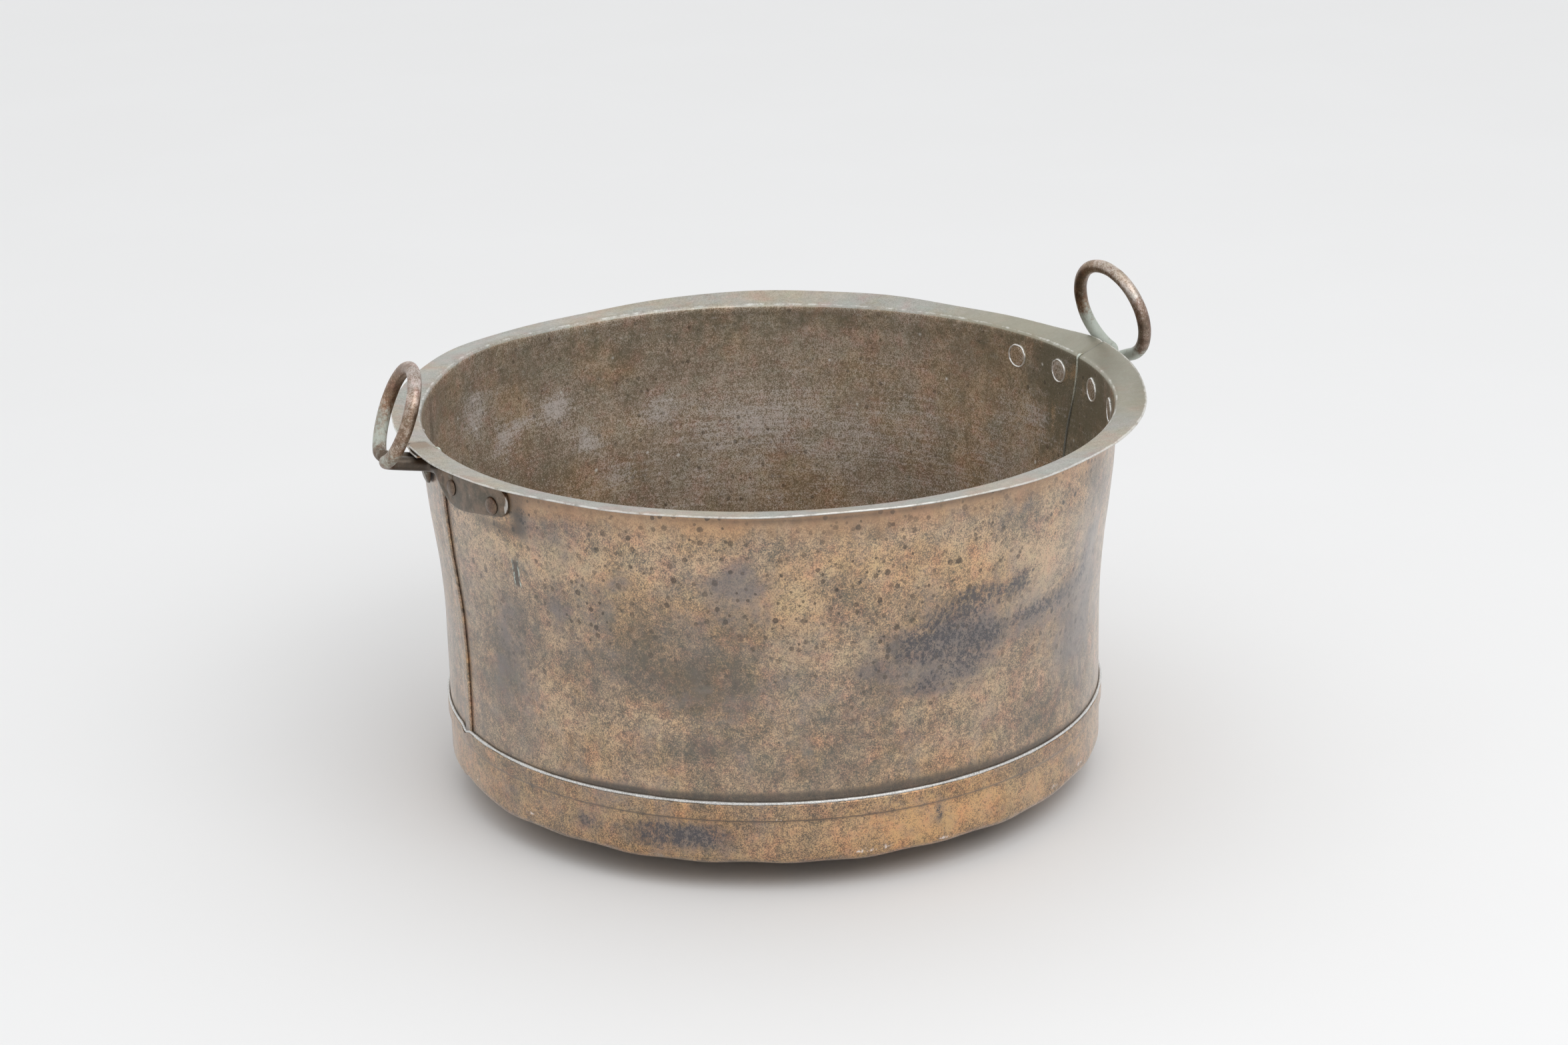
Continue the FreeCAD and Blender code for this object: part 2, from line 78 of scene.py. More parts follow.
class TubSizes(bpy.types.PropertyGroup):
    """Sizes of the sheets, handles and rivets, as the solids have them."""

    wall_sheet: length("Wall sheet", "Thickness of the wall sheet", 0.0018)
    wall_radius: length("Wall radius", "Outside of the straight lower wall", 0.284)
    wall_flare: length("Wall flare", "How much wider the wall is under the flange", 0.0125)
    flare_start: length("Flare start", "Height at which the wall begins to widen", 0.135)
    rim_height: length("Rim height", "Top of the flange's outer edge", 0.3355)
    flange_width: length("Flange width", "From the wall's outside to the rim's edge", 0.0235)
    flange_rise: turn_size("Flange rise", "How steeply the flange climbs outwards", 10.0)
    flange_bend: length("Flange bend", "Radius under the flange's bend", 0.003)
    pan_sheet: length("Pan sheet", "Thickness of the bottom pan", 0.0023)
    shoulder_height: length("Shoulder height", "Shoulder in the pan that the wall stands on", 0.066)
    lap_height: length("Lap height", "How far the pan's lap reaches up the wall", 0.014)
    lap_gap: length("Lap gap", "Room for solder between wall and lap", 0.0002)
    skirt_step: length("Skirt step", "How far the lap stands out from the skirt", 0.0018)
    step_height: length("Step height", "Height over which that step is made", 0.002)
    knuckle_height: length("Knuckle height", "Height at which the skirt turns into the base", 0.0335)
    knuckle_radius: length("Knuckle radius", "Outside radius of that turn", 0.009)
    base_flat: length("Base flat", "Radius of the worn flat underneath", 0.110)
    left_seam: turn_size("Left seam", "Angle of the left wall seam from +X", 183.5)
    right_seam: turn_size("Right seam", "Angle of the right wall seam from +X", 0.7)
    braze_width: length("Braze width", "Gap between the two halves of the wall", 0.0015)
    seam_lap: length("Seam lap", "Lap of the rear half over the front half", 0.011)
    bar_radius: length("Bar radius", "Half the thickness of the handle's bar", 0.0057)
    ring_bend: length("Ring bend", "Bend from ring to leg, from its start to its corner", 0.009)
    leg_spacing: length("Leg spacing", "Between the middles of the two legs", 0.013)
    leg_climb: turn_size("Leg climb", "How steeply the legs climb outwards", 11.0)
    leg_drop: length("Leg drop", "Flange bend down to the leg at the wall", 0.007)
    root_bend: length("Root bend", "Bend from leg to foot", 0.009)
    right_ring: length("Right ring", "Middle of the right ring to the middle of its bar", 0.0428)
    right_standoff: length("Right standoff", "Rim's edge to the foot of the right ring", 0.0182)
    right_lean: turn_size("Right lean", "How far the right ring leans in over the rim", 15.1)
    right_twist: turn_size("Right twist", "How far the right ring is bent round", 12.2)
    left_ring: length("Left ring", "Middle of the left ring to the middle of its bar", 0.0393)
    left_standoff: length("Left standoff", "Rim's edge to the foot of the left ring", 0.0248)
    left_lean: turn_size("Left lean", "How far the left ring leans in over the rim", 21.6)
    left_twist: turn_size("Left twist", "How far the left ring is bent round", -7.1)
    foot_thickness: length("Foot thickness", "Thickness of the flattened foot", 0.0032)
    foot_depth: length("Foot depth", "Height of the flattened foot", 0.034)
    foot_length: length("Foot length", "Along the wall from the handle's middle", 0.1125)
    foot_tip_rise: length("Foot tip rise", "How much the lower edge has risen at the tip", 0.011)
    foot_rise_start: length("Foot rise start", "Along the wall, where the lower edge starts to rise", 0.046)
    foot_corner: length("Foot corner", "Rounding of the foot's end", 0.010)
    foot_drop: length("Foot drop", "Flange bend down to the foot's top", 0.002)
    rivet_near: length("Near rivet", "Near rivet, along the wall from the handle's middle", 0.033)
    rivet_far: length("Far rivet", "Far rivet, along the wall from the handle's middle", 0.094)
    inner_head: length("Inner rivet head", "Radius of the rivet head inside the tub", 0.0095)
    outer_head: length("Outer rivet head", "Radius of the rivet head on the foot", 0.0075)
    seat_gap: length("Seat gap", "Clearance of feet and laps from the wall", 0.0001)
    steps_round: IntProperty(name="Steps round", description="Columns of faces in half of the wall",
                             default=300, min=24, max=420)


class TubColours(bpy.types.PropertyGroup):
    """Colours of the metal's finishes and of the stage."""

    brown: colour("Dark patina", "Darkest brown of the aged wall", 0.153, 0.135, 0.112)
    copper: colour("Middle patina", "Middle brown of the aged wall", 0.326, 0.239, 0.169)
    tan: colour("Worn copper", "Light tan where the wall is worn", 0.630, 0.452, 0.290)
    pan_dark: colour("Pan dark", "Darkest brown of the pan", 0.135, 0.106, 0.082)
    pan_copper: colour("Pan middle", "Middle orange-brown of the pan", 0.345, 0.232, 0.142)
    pan_light: colour("Pan worn", "Light golden copper of the pan", 0.650, 0.426, 0.232)
    stain: colour("Stain", "Blue-black heat stain", 0.060, 0.060, 0.071)
    purple: colour("Purple veil", "Soft purplish tarnish", 0.200, 0.178, 0.176)
    lilac: colour("Lilac tinge", "Greyish tarnish", 0.300, 0.256, 0.232)
    orange: colour("Orange", "Warm strip under the flange", 0.450, 0.262, 0.140)
    speck: colour("Specks", "Dark oxide specks", 0.055, 0.043, 0.035)
    # Used for dirt and also for painted shade: under the flange, on its underside, on the feet's tops and
    # round the outer rivet heads
    grime: colour("Grime", "Dirt in corners and along seams", 0.070, 0.058, 0.046)
    inner_dark: colour("Inner dark", "Darkest brown inside", 0.250, 0.200, 0.143)
    inner: colour("Inner copper", "Dull brown of the tub's inside", 0.428, 0.346, 0.264)
    inner_light: colour("Inner light", "Greyish light brown inside", 0.615, 0.532, 0.450)
    olive: colour("Inner olive", "Dark olive clouds inside", 0.185, 0.170, 0.118)
    bloom: colour("Bloom", "Whitish scale inside", 0.650, 0.605, 0.585)
    rim_dark: colour("Rim dark", "Dark brown of the flange", 0.300, 0.280, 0.245)
    rim: colour("Rim", "Grey-brown flange", 0.415, 0.405, 0.372)
    rim_light: colour("Rim light", "Rubbed flange", 0.530, 0.515, 0.475)
    rim_olive: colour("Rim olive", "Olive part of the flange", 0.335, 0.322, 0.250)
    # Besides worn bare metal, also part of the painted highlight by the flange's outer edge
    edge: colour("Bright edge", "Bare metal on worn edges", 0.620, 0.540, 0.450)
    handle_dark: colour("Handle dark", "Dark brown of the bars", 0.105, 0.078, 0.060)
    handle: colour("Handle", "Brown bar", 0.255, 0.178, 0.128)
    # Laid on the tops of the rings: rubbed wear, and partly a painted highlight
    handle_light: colour("Handle light", "Rubbed pinkish bar", 0.640, 0.575, 0.535)
    strap: colour("Strap", "Olive-grey of the flattened feet", 0.088, 0.078, 0.058)
    verdigris: colour("Verdigris", "Pale green bloom on the rings", 0.520, 0.580, 0.520)
    solder: colour("Solder", "Soft solder", 0.640, 0.640, 0.625)
    # Also laid on the flange's bright edge and inner bend and on the foot ends, partly as a painted highlight
    tin: colour("Tin", "Bright tin round the rivets", 0.880, 0.880, 0.850)
    scratch: colour("Scratches", "Fresh pinkish scratches", 0.820, 0.720, 0.670)
    braze: colour("Braze", "Greenish seam filler", 0.740, 0.800, 0.730)
    floor: colour("Floor", "Pale studio floor", 0.885, 0.890, 0.895)
    floor_light: colour("Floor light", "Lighter patches of the floor", 0.905, 0.912, 0.920)


# Listed marks on the sheets: bearing in degrees (front 0, right handle 90, left handle -90), height,
# half width, half height in millimetres, strength
DARK_STAINS = [
    (3, 211, 20, 14, 0.5), (1, 197, 18, 11, 0.42), (10, 227, 24, 13, 0.72), (21, 235, 26, 9, 0.72),
    (13, 241, 13, 5, 0.55), (25, 246, 14, 6, 0.5), (10, 196, 30, 16, 0.5), (16, 196, 24, 15, 0.45),
    (11, 172, 26, 10, 0.42), (4, 166, 24, 9, 0.42), (-5, 190, 18, 12, 0.28), (25, 205, 30, 9, 0.42),
    (33, 208, 30, 10, 0.55), (42, 216, 22, 18, 0.36), (36, 155, 16, 10, 0.3), (-26, 274, 12, 9, 0.35),
    (-6, 172, 16, 10, 0.3), (-29, 168, 22, 12, 0.2), (-12, 149, 10, 8, 0.3), (-40, 296, 6, 9, 0.35),
    (-24, 305, 16, 5, 0.3), (17, 262, 8, 7, 0.3), (-62, 306, 7, 13, 0.5), (44, 236, 12, 26, 0.28),
]
PURPLE_VEILS = [
    (-26, 272, 20, 14, 0.95), (-25, 243, 24, 16, 0.55), (-55, 293, 15, 18, 0.55), (-45, 265, 12, 8, 0.6),
    (-57, 236, 17, 11, 0.5), (-57, 221, 8, 13, 0.5), (6, 170, 26, 13, 0.6), (11, 200, 44, 26, 0.55),
    (34, 203, 46, 16, 0.45), (-3, 192, 18, 22, 0.4), (22, 300, 20, 12, 0.4), (-71, 160, 22, 34, 0.45),
    (-8, 150, 30, 8, 0.3), (40, 170, 26, 24, 0.35), (-68, 210, 18, 40, 0.4), (46, 240, 20, 50, 0.45),
    (-62, 306, 9, 16, 0.5), (48, 180, 40, 70, 0.5), (39, 160, 30, 30, 0.4), (12, 196, 60, 36, 0.35),
]
BROWN_CLOUDS = [
    (-41, 234, 36, 17, 0.55), (-37, 190, 64, 27, 0.95), (-30, 172, 38, 19, 0.6), (-71, 160, 24, 36, 0.7),
    (-73, 141, 30, 22, 0.35), (-31, 126, 34, 11, 0.8), (-52, 179, 20, 18, 0.4), (-3, 163, 34, 24, 0.35),
    (20, 128, 50, 14, 0.2), (-55, 302, 26, 12, 0.3), (-62, 208, 20, 40, 0.35), (34, 112, 56, 20, 0.45),
    (42, 182, 50, 40, 0.2), (-14, 148, 30, 10, 0.3), (-28, 222, 26, 18, 0.45), (-80, 200, 25, 60, 0.2),
    (-22, 104, 40, 10, 0.45), (-4, 106, 44, 12, 0.45), (-14, 124, 30, 10, 0.35), (-38, 110, 26, 10, 0.3),
]
WORN_PATCHES = [
    (-64, 271, 28, 14, 0.45), (-52, 270, 36, 18, 0.5), (-18, 256, 30, 32, 0.6), (-7, 280, 38, 22, 0.5),
    (-36, 306, 40, 10, 0.35), (14, 267, 44, 13, 0.75), (28, 256, 34, 17, 0.75), (-18, 204, 26, 34, 0.6),
    (-57, 126, 38, 16, 0.6), (-60, 170, 18, 26, 0.45), (-5, 218, 26, 26, 0.4), (17, 139, 46, 24, 0.65),
    (24, 220, 20, 10, 0.65), (30, 228, 24, 18, 0.65), (-48, 96, 60, 9, 0.3), (45, 262, 40, 30, 0.4),
    (-75, 262, 26, 26, 0.4), (0, 300, 60, 12, 0.25), (60, 130, 50, 40, 0.4), (30, 165, 30, 26, 0.35),
    (-30, 318, 110, 4, 0.25), (8, 318, 110, 4, 0.25), (40, 317, 80, 4, 0.3), (-50, 286, 50, 24, 0.4),
]
# Dirt along the seams, above the pan's lap and by the left foot's tip; the lines at 322 and 323 mm are
# painted shadow just under the flange, outside and in the mirrored copies inside
SEAM_GRIME_AND_FLANGE_SHADOW = [
    (-45, 84, 60, 3, 0.8), (-20, 85, 70, 4, 0.9), (5, 85, 60, 4, 0.85), (28, 84, 60, 3, 0.6),
    (-87, 100, 5, 18, 0.6), (-60, 322, 50, 5, 0.4), (-20, 323, 120, 4, 0.5), (25, 323, 110, 4, 0.5),
    (-63, 303, 9, 14, 0.8), (-69, 290, 30, 4, 0.6),
]
PAN_STAINS = [
    (-41, 49, 26, 12, 0.8), (-32, 50, 24, 11, 0.75), (-53, 49, 15, 8, 0.6), (1, 45, 10, 6, 0.4),
    (7, 60, 4, 9, 0.6), (7, 50, 3, 7, 0.45), (-24, 64, 4, 3, 0.5), (40, 46, 26, 7, 0.4),
    (-70, 52, 20, 7, 0.4), (20, 40, 20, 6, 0.3),
]
PAN_WORN = [
    (-62, 50, 40, 12, 0.5), (-14, 52, 50, 12, 0.55), (2, 50, 40, 12, 0.7), (14, 50, 50, 14, 0.9),
    (30, 46, 40, 12, 0.7), (-85, 50, 40, 15, 0.4), (50, 50, 40, 14, 0.5),
]
PAN_SCRATCHES = [
    (-6, 33, 8, 2, 0.9), (-2, 34, 5, 2, 0.9), (8, 31, 7, 2, 0.9), (34, 36, 14, 2, 0.8), (44, 38, 10, 2, 0.8),
    (-66, 38, 7, 2, 0.7), (-20, 66, 4, 1.5, 0.6), (-84, 40, 8, 2, 0.6),
]
SCALE_BLOOM = [
    (152, 226, 80, 32, 0.34), (166, 216, 60, 26, 0.34), (131, 230, 46, 26, 0.24), (196, 222, 14, 12, 0.9),
    (202, 259, 16, 14, 1.1), (210, 254, 16, 8, 0.8), (216, 247, 14, 14, 0.9), (190, 184, 18, 10, 0.7),
    (104, 256, 30, 16, 0.6), (112, 214, 28, 28, 0.25), (140, 182, 60, 30, 0.26), (176, 182, 60, 40, 0.22),
    (224, 284, 18, 20, 0.9), (182, 241, 20, 12, 0.6), (160, 120, 120, 40, 0.3), (118, 150, 60, 40, 0.3),
    (210, 150, 60, 40, 0.25), (95, 232, 20, 10, 0.4),
]
INNER_GOLD = [
    (95, 306, 7, 10, 0.8), (92, 312, 5, 8, 0.8), (98, 268, 6, 14, 0.7), (88, 302, 5, 9, 0.6),
    (84, 314, 6, 5, 0.5),
]
INNER_OLIVE = [
    (92, 296, 40, 30, 0.9), (84, 300, 30, 34, 0.9), (103, 304, 30, 20, 0.6), (98, 250, 30, 24, 0.5),
    (90, 225, 40, 30, 0.4), (112, 236, 26, 14, 0.4), (228, 292, 30, 20, 0.4), (183, 176, 24, 16, 0.4),
    (150, 318, 220, 8, 0.5), (206, 206, 30, 14, 0.35), (60, 300, 40, 40, 0.4), (108, 334, 70, 9, 0.7),
    (205, 304, 150, 20, 0.4), (160, 302, 150, 20, 0.35),
]
SHEET_DENTS = [
    (-68, 200, 40, 70, -1.6), (52, 215, 45, 60, -1.4), (-38, 170, 70, 60, 0.9), (8, 140, 55, 40, -0.8),
    (25, 240, 40, 36, 0.8), (-20, 262, 40, 26, -0.6), (120, 180, 70, 60, -1.2), (170, 220, 60, 60, 1.0),
    (215, 150, 60, 50, -1.2), (250, 220, 30, 50, -1.0),
]

# Wear round each ring: degrees from its foot up the rear arm of the right ring and the front arm of the left
# one, half width in degrees, strength. The worn tops are rubbed wear and partly a painted highlight.
RING_WEAR = {
    "right": {
        "worn": [(214, 34, 1.0), (165, 18, 0.4)],
        "brown": [(112, 22, 0.55), (290, 26, 0.1)],
        "bloom": [(40, 28, 1.2), (0, 20, 0.8), (354, 17, 1.4)],
        "dirt": 0.0,
    },
    "left": {
        "worn": [(172, 48, 1.0)],
        "brown": [(70, 18, 0.15), (265, 20, 0.1)],
        "bloom": [(20, 18, 0.8), (316, 26, 0.8), (350, 14, 0.6)],
        "dirt": 0.75,
    },
}

# Where the flange was knocked out of true: bearing and half width in degrees, lift and push in millimetres
RIM_KNOCKS = [
    (83, 9, 4.9, 0.0), (93, 5, 2.2, 0.0), (71, 16, 0.0, 2.2), (52, 8, -1.2, 0.6), (120, 10, -2.0, 0.0),
    (168, 7, 1.6, 0.0), (198, 11, -3.2, 0.0), (225, 11, 2.6, 0.0),
]

# Where the fold under the flange stands higher: bearing and half width in degrees, lift in millimetres
FOLD_LIFTS = [(222, 13, 7.0), (190, 14, 0.8), (176, 12, 1.2)]


def rim_facts(sizes):
    """Values that several pieces share, worked out from the sizes."""
    rise = sizes.flange_rise
    top_radius = sizes.wall_radius + sizes.wall_flare
    reach = (sizes.flange_width - sizes.flange_bend * (1 - math.sin(rise))) / math.cos(rise)
    bend_height = (sizes.rim_height - reach * math.sin(rise)
                   - (sizes.flange_bend + sizes.wall_sheet) * math.cos(rise))
    flare = bend_height - sizes.flare_start
    flare_angle = 2 * math.atan(sizes.wall_flare / flare)
    return SimpleNamespace(
        rise=rise,
        top_radius=top_radius,
        rim_radius=top_radius + sizes.flange_width,
        reach=reach - sizes.wall_sheet / 2,
        bend_height=bend_height,
        flare_angle=flare_angle,
        flare_radius=flare / (2 * math.sin(flare_angle)),
        foot_middle=bend_height - sizes.foot_drop - sizes.foot_depth / 2,
        lap_top=sizes.shoulder_height + sizes.lap_height,
    )


def arc_points(middle, radius, start, end, steps):
    turns = np.linspace(start, end, steps)
    return np.column_stack([middle[0] + radius * np.cos(turns), middle[1] + radius * np.sin(turns)])


def line_points(start, end, steps):
    start = np.array(start)
    return start + (np.array(end) - start) * np.linspace(0.0, 1.0, steps)[:, None]


def smooth(value, low, high):
    """Soft step from 0 at low to 1 at high."""
    share = np.clip((np.asarray(value, dtype=float) - low) / (high - low), 0.0, 1.0)
    return share * share * (3 - 2 * share)


def wall_side(sizes, depth):
    """One side of the wall's section, foot to rim; depth is inwards from the outside."""
    facts = rim_facts(sizes)
    radius = sizes.wall_radius
    flare = facts.flare_radius
    angle = facts.flare_angle
    bend_end = math.pi / 2 + facts.rise
    bend_middle = (facts.top_radius + sizes.flange_bend, facts.bend_height)
    straight = line_points((radius - depth, sizes.shoulder_height), (radius - depth, sizes.flare_start), 20)
    low = arc_points((radius + flare, sizes.flare_start), flare + depth, math.pi, math.pi - angle, 24)
    high = arc_points((facts.top_radius - flare, facts.bend_height), flare - depth, -angle, 0.0, 24)
    bend = arc_points(bend_middle, sizes.flange_bend + depth, math.pi, bend_end, 8)
    outward = np.array([math.cos(facts.rise), math.sin(facts.rise)])
    flange = line_points(bend[-1], bend[-1] + outward * facts.reach, 9)
    return np.vstack([straight, low[1:], high[1:], bend[1:], flange[1:]])


def round_edge(first, second, steps):
    """Half-round edge between the ends of two sides of a sheet."""
    middle = (first + second) / 2
    across = (second - first) / 2
    outward = np.array([across[1], -across[0]])
    turns = np.linspace(-math.pi / 2, math.pi / 2, steps + 2)[1:-1]
    return middle + np.outer(np.cos(turns), outward) + np.outer(np.sin(turns), across)


def wall_section(sizes):
    outside = wall_side(sizes, 0.0)
    inside = wall_side(sizes, sizes.wall_sheet)
    return np.vstack([outside, round_edge(outside[-1], inside[-1], 5), inside[::-1]])


def pan_side(sizes, depth):
    """One side of the pan's section, from its lap down to the middle of the base."""
    edge_round = 0.0004
    lap_outside = sizes.wall_radius + sizes.lap_gap + sizes.pan_sheet
    skirt = lap_outside - sizes.skirt_step
    lap = lap_outside - depth
    shoulder = sizes.shoulder_height
    step_foot = shoulder if depth else shoulder - sizes.step_height
    knuckle = (skirt - sizes.knuckle_radius, sizes.knuckle_height)
    reach = knuckle[0] - sizes.base_flat
    drop = sizes.knuckle_height - sizes.knuckle_radius
    dish = (reach ** 2 + sizes.knuckle_height ** 2 - sizes.knuckle_radius ** 2) / (2 * drop)
    turn_end = math.asin(reach / (dish - sizes.knuckle_radius)) - math.pi / 2
    skirt -= depth
    return np.vstack([
        line_points((lap, rim_facts(sizes).lap_top - edge_round), (lap, shoulder), 8),
        line_points((lap, shoulder), (skirt, step_foot), 5)[1:],
        line_points((skirt, step_foot), (skirt, sizes.knuckle_height), 16)[1:],
        arc_points(knuckle, sizes.knuckle_radius - depth, 0.0, turn_end, 10)[1:],
        arc_points((sizes.base_flat, dish), dish - depth, turn_end, -math.pi / 2, 26)[1:],
        line_points((sizes.base_flat, depth), (0.0, depth), 12)[1:],
    ])


def pan_section(sizes):
    outside = pan_side(sizes, 0.0)
    inside = pan_side(sizes, sizes.pan_sheet)
    return np.vstack([round_edge(inside[0], outside[0], 3), outside, inside[::-1]])


def wall_radius_at(sizes, height):
    """Outside radius of the wall."""
    facts = rim_facts(sizes)
    flare = facts.flare_radius
    if height <= sizes.flare_start:
        return sizes.wall_radius
    if height <= (sizes.flare_start + facts.bend_height) / 2:
        up = height - sizes.flare_start
        return sizes.wall_radius + flare - math.sqrt(flare ** 2 - up ** 2)
    down = max(facts.bend_height - height, 0.0)
    return facts.top_radius - flare + math.sqrt(flare ** 2 - down ** 2)


class Wire:
    """Output of a node, which can be used in sums."""

    def __init__(self, net, socket):
        self.net = net
        self.socket = socket

    def math(self, operation, *others):
        return self.net.math(operation, self, *others)

    def __add__(self, other):
        return self.math("ADD", other)

    def __sub__(self, other):
        return self.math("SUBTRACT", other)

    def __rsub__(self, other):
        return self.net.math("SUBTRACT", other, self)

    def __mul__(self, other):
        return self.math("MULTIPLY", other)

    def __abs__(self):
        return self.math("ABSOLUTE")

    def step(self, low, high, out_low=0.0, out_high=1.0):
        """Smooth map from one range to another."""
        values = {"Value": self, "From Min": low, "From Max": high, "To Min": out_low, "To Max": out_high}
        return self.net.add("ShaderNodeMapRange", values, interpolation_type="SMOOTHSTEP")[0]

    def coat(self, share, shade, mode="MIX"):
        """This colour with a share of another over it."""
        return self.net.mix(share, self, shade, mode)


class Outputs:
    """Outputs of one node, by name or number."""

    def __init__(self, net, node):
        self.net = net
        self.node = node

    def __getitem__(self, key):
        return Wire(self.net, self.node.outputs[key])


class Net:
    """Node tree in the making, with the coordinates that its patterns read."""

    def __init__(self, tree):
        self.tree = tree
        self.where = None

    def feed(self, node, values):
        """Links wires to a node's inputs, or sets the inputs' own values."""
        for key, value in values.items():
            socket = node.inputs[key]
            if isinstance(value, Wire):
                self.tree.links.new(value.socket, socket)
            elif socket.type == "RGBA":
                socket.default_value = tuple(value) + (1.0,)
            else:
                socket.default_value = value

    def add(self, kind, values=None, **settings):
        node = self.tree.nodes.new(kind)
        for name, value in settings.items():
            setattr(node, name, value)
        self.feed(node, values or {})
        return Outputs(self, node)

    def math(self, operation, *values):
        return self.add("ShaderNodeMath", dict(enumerate(values)), operation=operation)[0]

    def mix(self, share, first, second, mode="MIX"):
        """Mix of two colours, which are the inputs 6 and 7 of the node."""
        values = {0: share, 6: first, 7: second}
        return self.add("ShaderNodeMix", values, data_type="RGBA", blend_type=mode, clamp_factor=True)[2]

    def split(self, vector):
        return self.add("ShaderNodeSeparateXYZ", {0: vector})

    def join(self, x, y, z):
        return self.add("ShaderNodeCombineXYZ", {0: x, 1: y, 2: z})[0]

    def stretch(self, x, y, z):
        """Coordinates scaled along each axis."""
        return self.add("ShaderNodeVectorMath", {0: self.where, 1: (x, y, z)}, operation="MULTIPLY")[0]

    def angle_round(self):
        """Angle of the coordinates round Z, and their height."""
        spot = self.split(self.where)
        return spot["Y"].math("ARCTAN2", spot["X"]), spot["Z"]

    def clouds(self, scale, detail=6.0, rough=0.6, twist=0.0, at=None):
        """Noise pattern with its middle at zero."""
        values = {"Vector": at or self.where, "Scale": scale, "Detail": detail, "Roughness": rough,
                  "Distortion": twist}
        return self.add("ShaderNodeTexNoise", values)[0] - 0.5

    def mark(self, name):
        """One of the piece's own painted marks."""
        return self.add("ShaderNodeAttribute", attribute_name=name, attribute_type="GEOMETRY")["Fac"]

    def place(self, group, values):
        """Outputs of a node group, which reads the same coordinates."""
        return self.add("ShaderNodeGroup", {"Coordinates": self.where, **values}, node_tree=group)

    def shade(self, values, height, strength, distance):
        """Sets the material's shader, with a bump from a height."""
        relief = {"Height": height, "Strength": strength, "Distance": distance}
        values["Normal"] = self.add("ShaderNodeBump", relief)[0]
        self.feed(self.tree.nodes["Principled BSDF"], values)


def open_group(name, kind, inputs, outputs):
    """New node group with named sockets, each a default value or a kind; gives its net and inputs."""
    tree = bpy.data.node_groups.new(name, kind)
    for in_out, sockets in (("INPUT", inputs), ("OUTPUT", outputs)):
        for label, value in sockets.items():
            socket_kind = value if isinstance(value, str) else {float: "Float", int: "Int"}[type(value)]
            socket = tree.interface.new_socket(label, in_out=in_out, socket_type="NodeSocket" + socket_kind)
            if not isinstance(value, str):
                socket.default_value = value
    net = Net(tree)
    start = net.add("NodeGroupInput")
    if "Coordinates" in inputs:
        net.where = start["Coordinates"]
    return net, start


def close_group(net, results):
    net.add("NodeGroupOutput", results)
    return net.tree


def grain_group():
    """Fine speckle, short worm-like lines and shallow hammer marks."""
    net, start = open_group("Metal grain", "ShaderNodeTree", {"Coordinates": "Vector", "Hammering": 0.5},
                            {"Speckle": "Float", "Worms": "Float", "Height": "Float"})
    speckle = net.clouds(900.0, 2.0) * 1.9 + net.clouds(340.0, 3.0, 0.65) * 0.75
    worms = abs(net.clouds(190.0, 2.0, 0.55, 0.8)).step(0.0, 0.06, 1.0, 0.0)
    cells = net.add("ShaderNodeTexVoronoi", {"Vector": net.where, "Scale": 34.0, "Smoothness": 0.7},
                    feature="SMOOTH_F1")
    height = speckle * 0.16 + cells["Distance"] * start["Hammering"]
    return close_group(net, {"Speckle": speckle, "Worms": worms, "Height": height})


def speck_group():
    """Scattered specks of different sizes, laid out on the unrolled sheet."""
    inputs = {"Coordinates": "Vector", "Scale": 90.0, "Share": 0.3, "Size": 0.3, "Smallest": 0.045}
    net, start = open_group("Oxide specks", "ShaderNodeTree", inputs, {"Mask": "Float"})
    angle, height = net.angle_round()
    spot = net.split(net.where)
    radius = (spot["X"] * spot["X"] + spot["Y"] * spot["Y"]).math("SQRT")
    flat = net.join(angle * SHEET_RADIUS, height - radius, 0.0)
    wobble = net.add("ShaderNodeTexNoise", {"Vector": net.where, "Scale": 330.0, "Detail": 3.0})["Color"]
    drift = net.add("ShaderNodeVectorMath", {0: wobble, "Scale": 0.0016}, operation="SCALE")[0]
    moved = net.add("ShaderNodeVectorMath", {0: flat, 1: drift}, operation="ADD")[0]
    cells = net.add("ShaderNodeTexVoronoi", {"Vector": moved, "Scale": start["Scale"]},
                    voronoi_dimensions="2D")
    draw = net.add("ShaderNodeSeparateColor", {0: cells["Color"]})
    size = draw[1].math("POWER", 2.0) * start["Size"] + start["Smallest"]
    mask = (size - cells["Distance"]).step(-0.02, 0.04) * (draw[2] * 0.5 + 0.5)
    return close_group(net, {"Mask": mask * draw[0].math("LESS_THAN", start["Share"])})


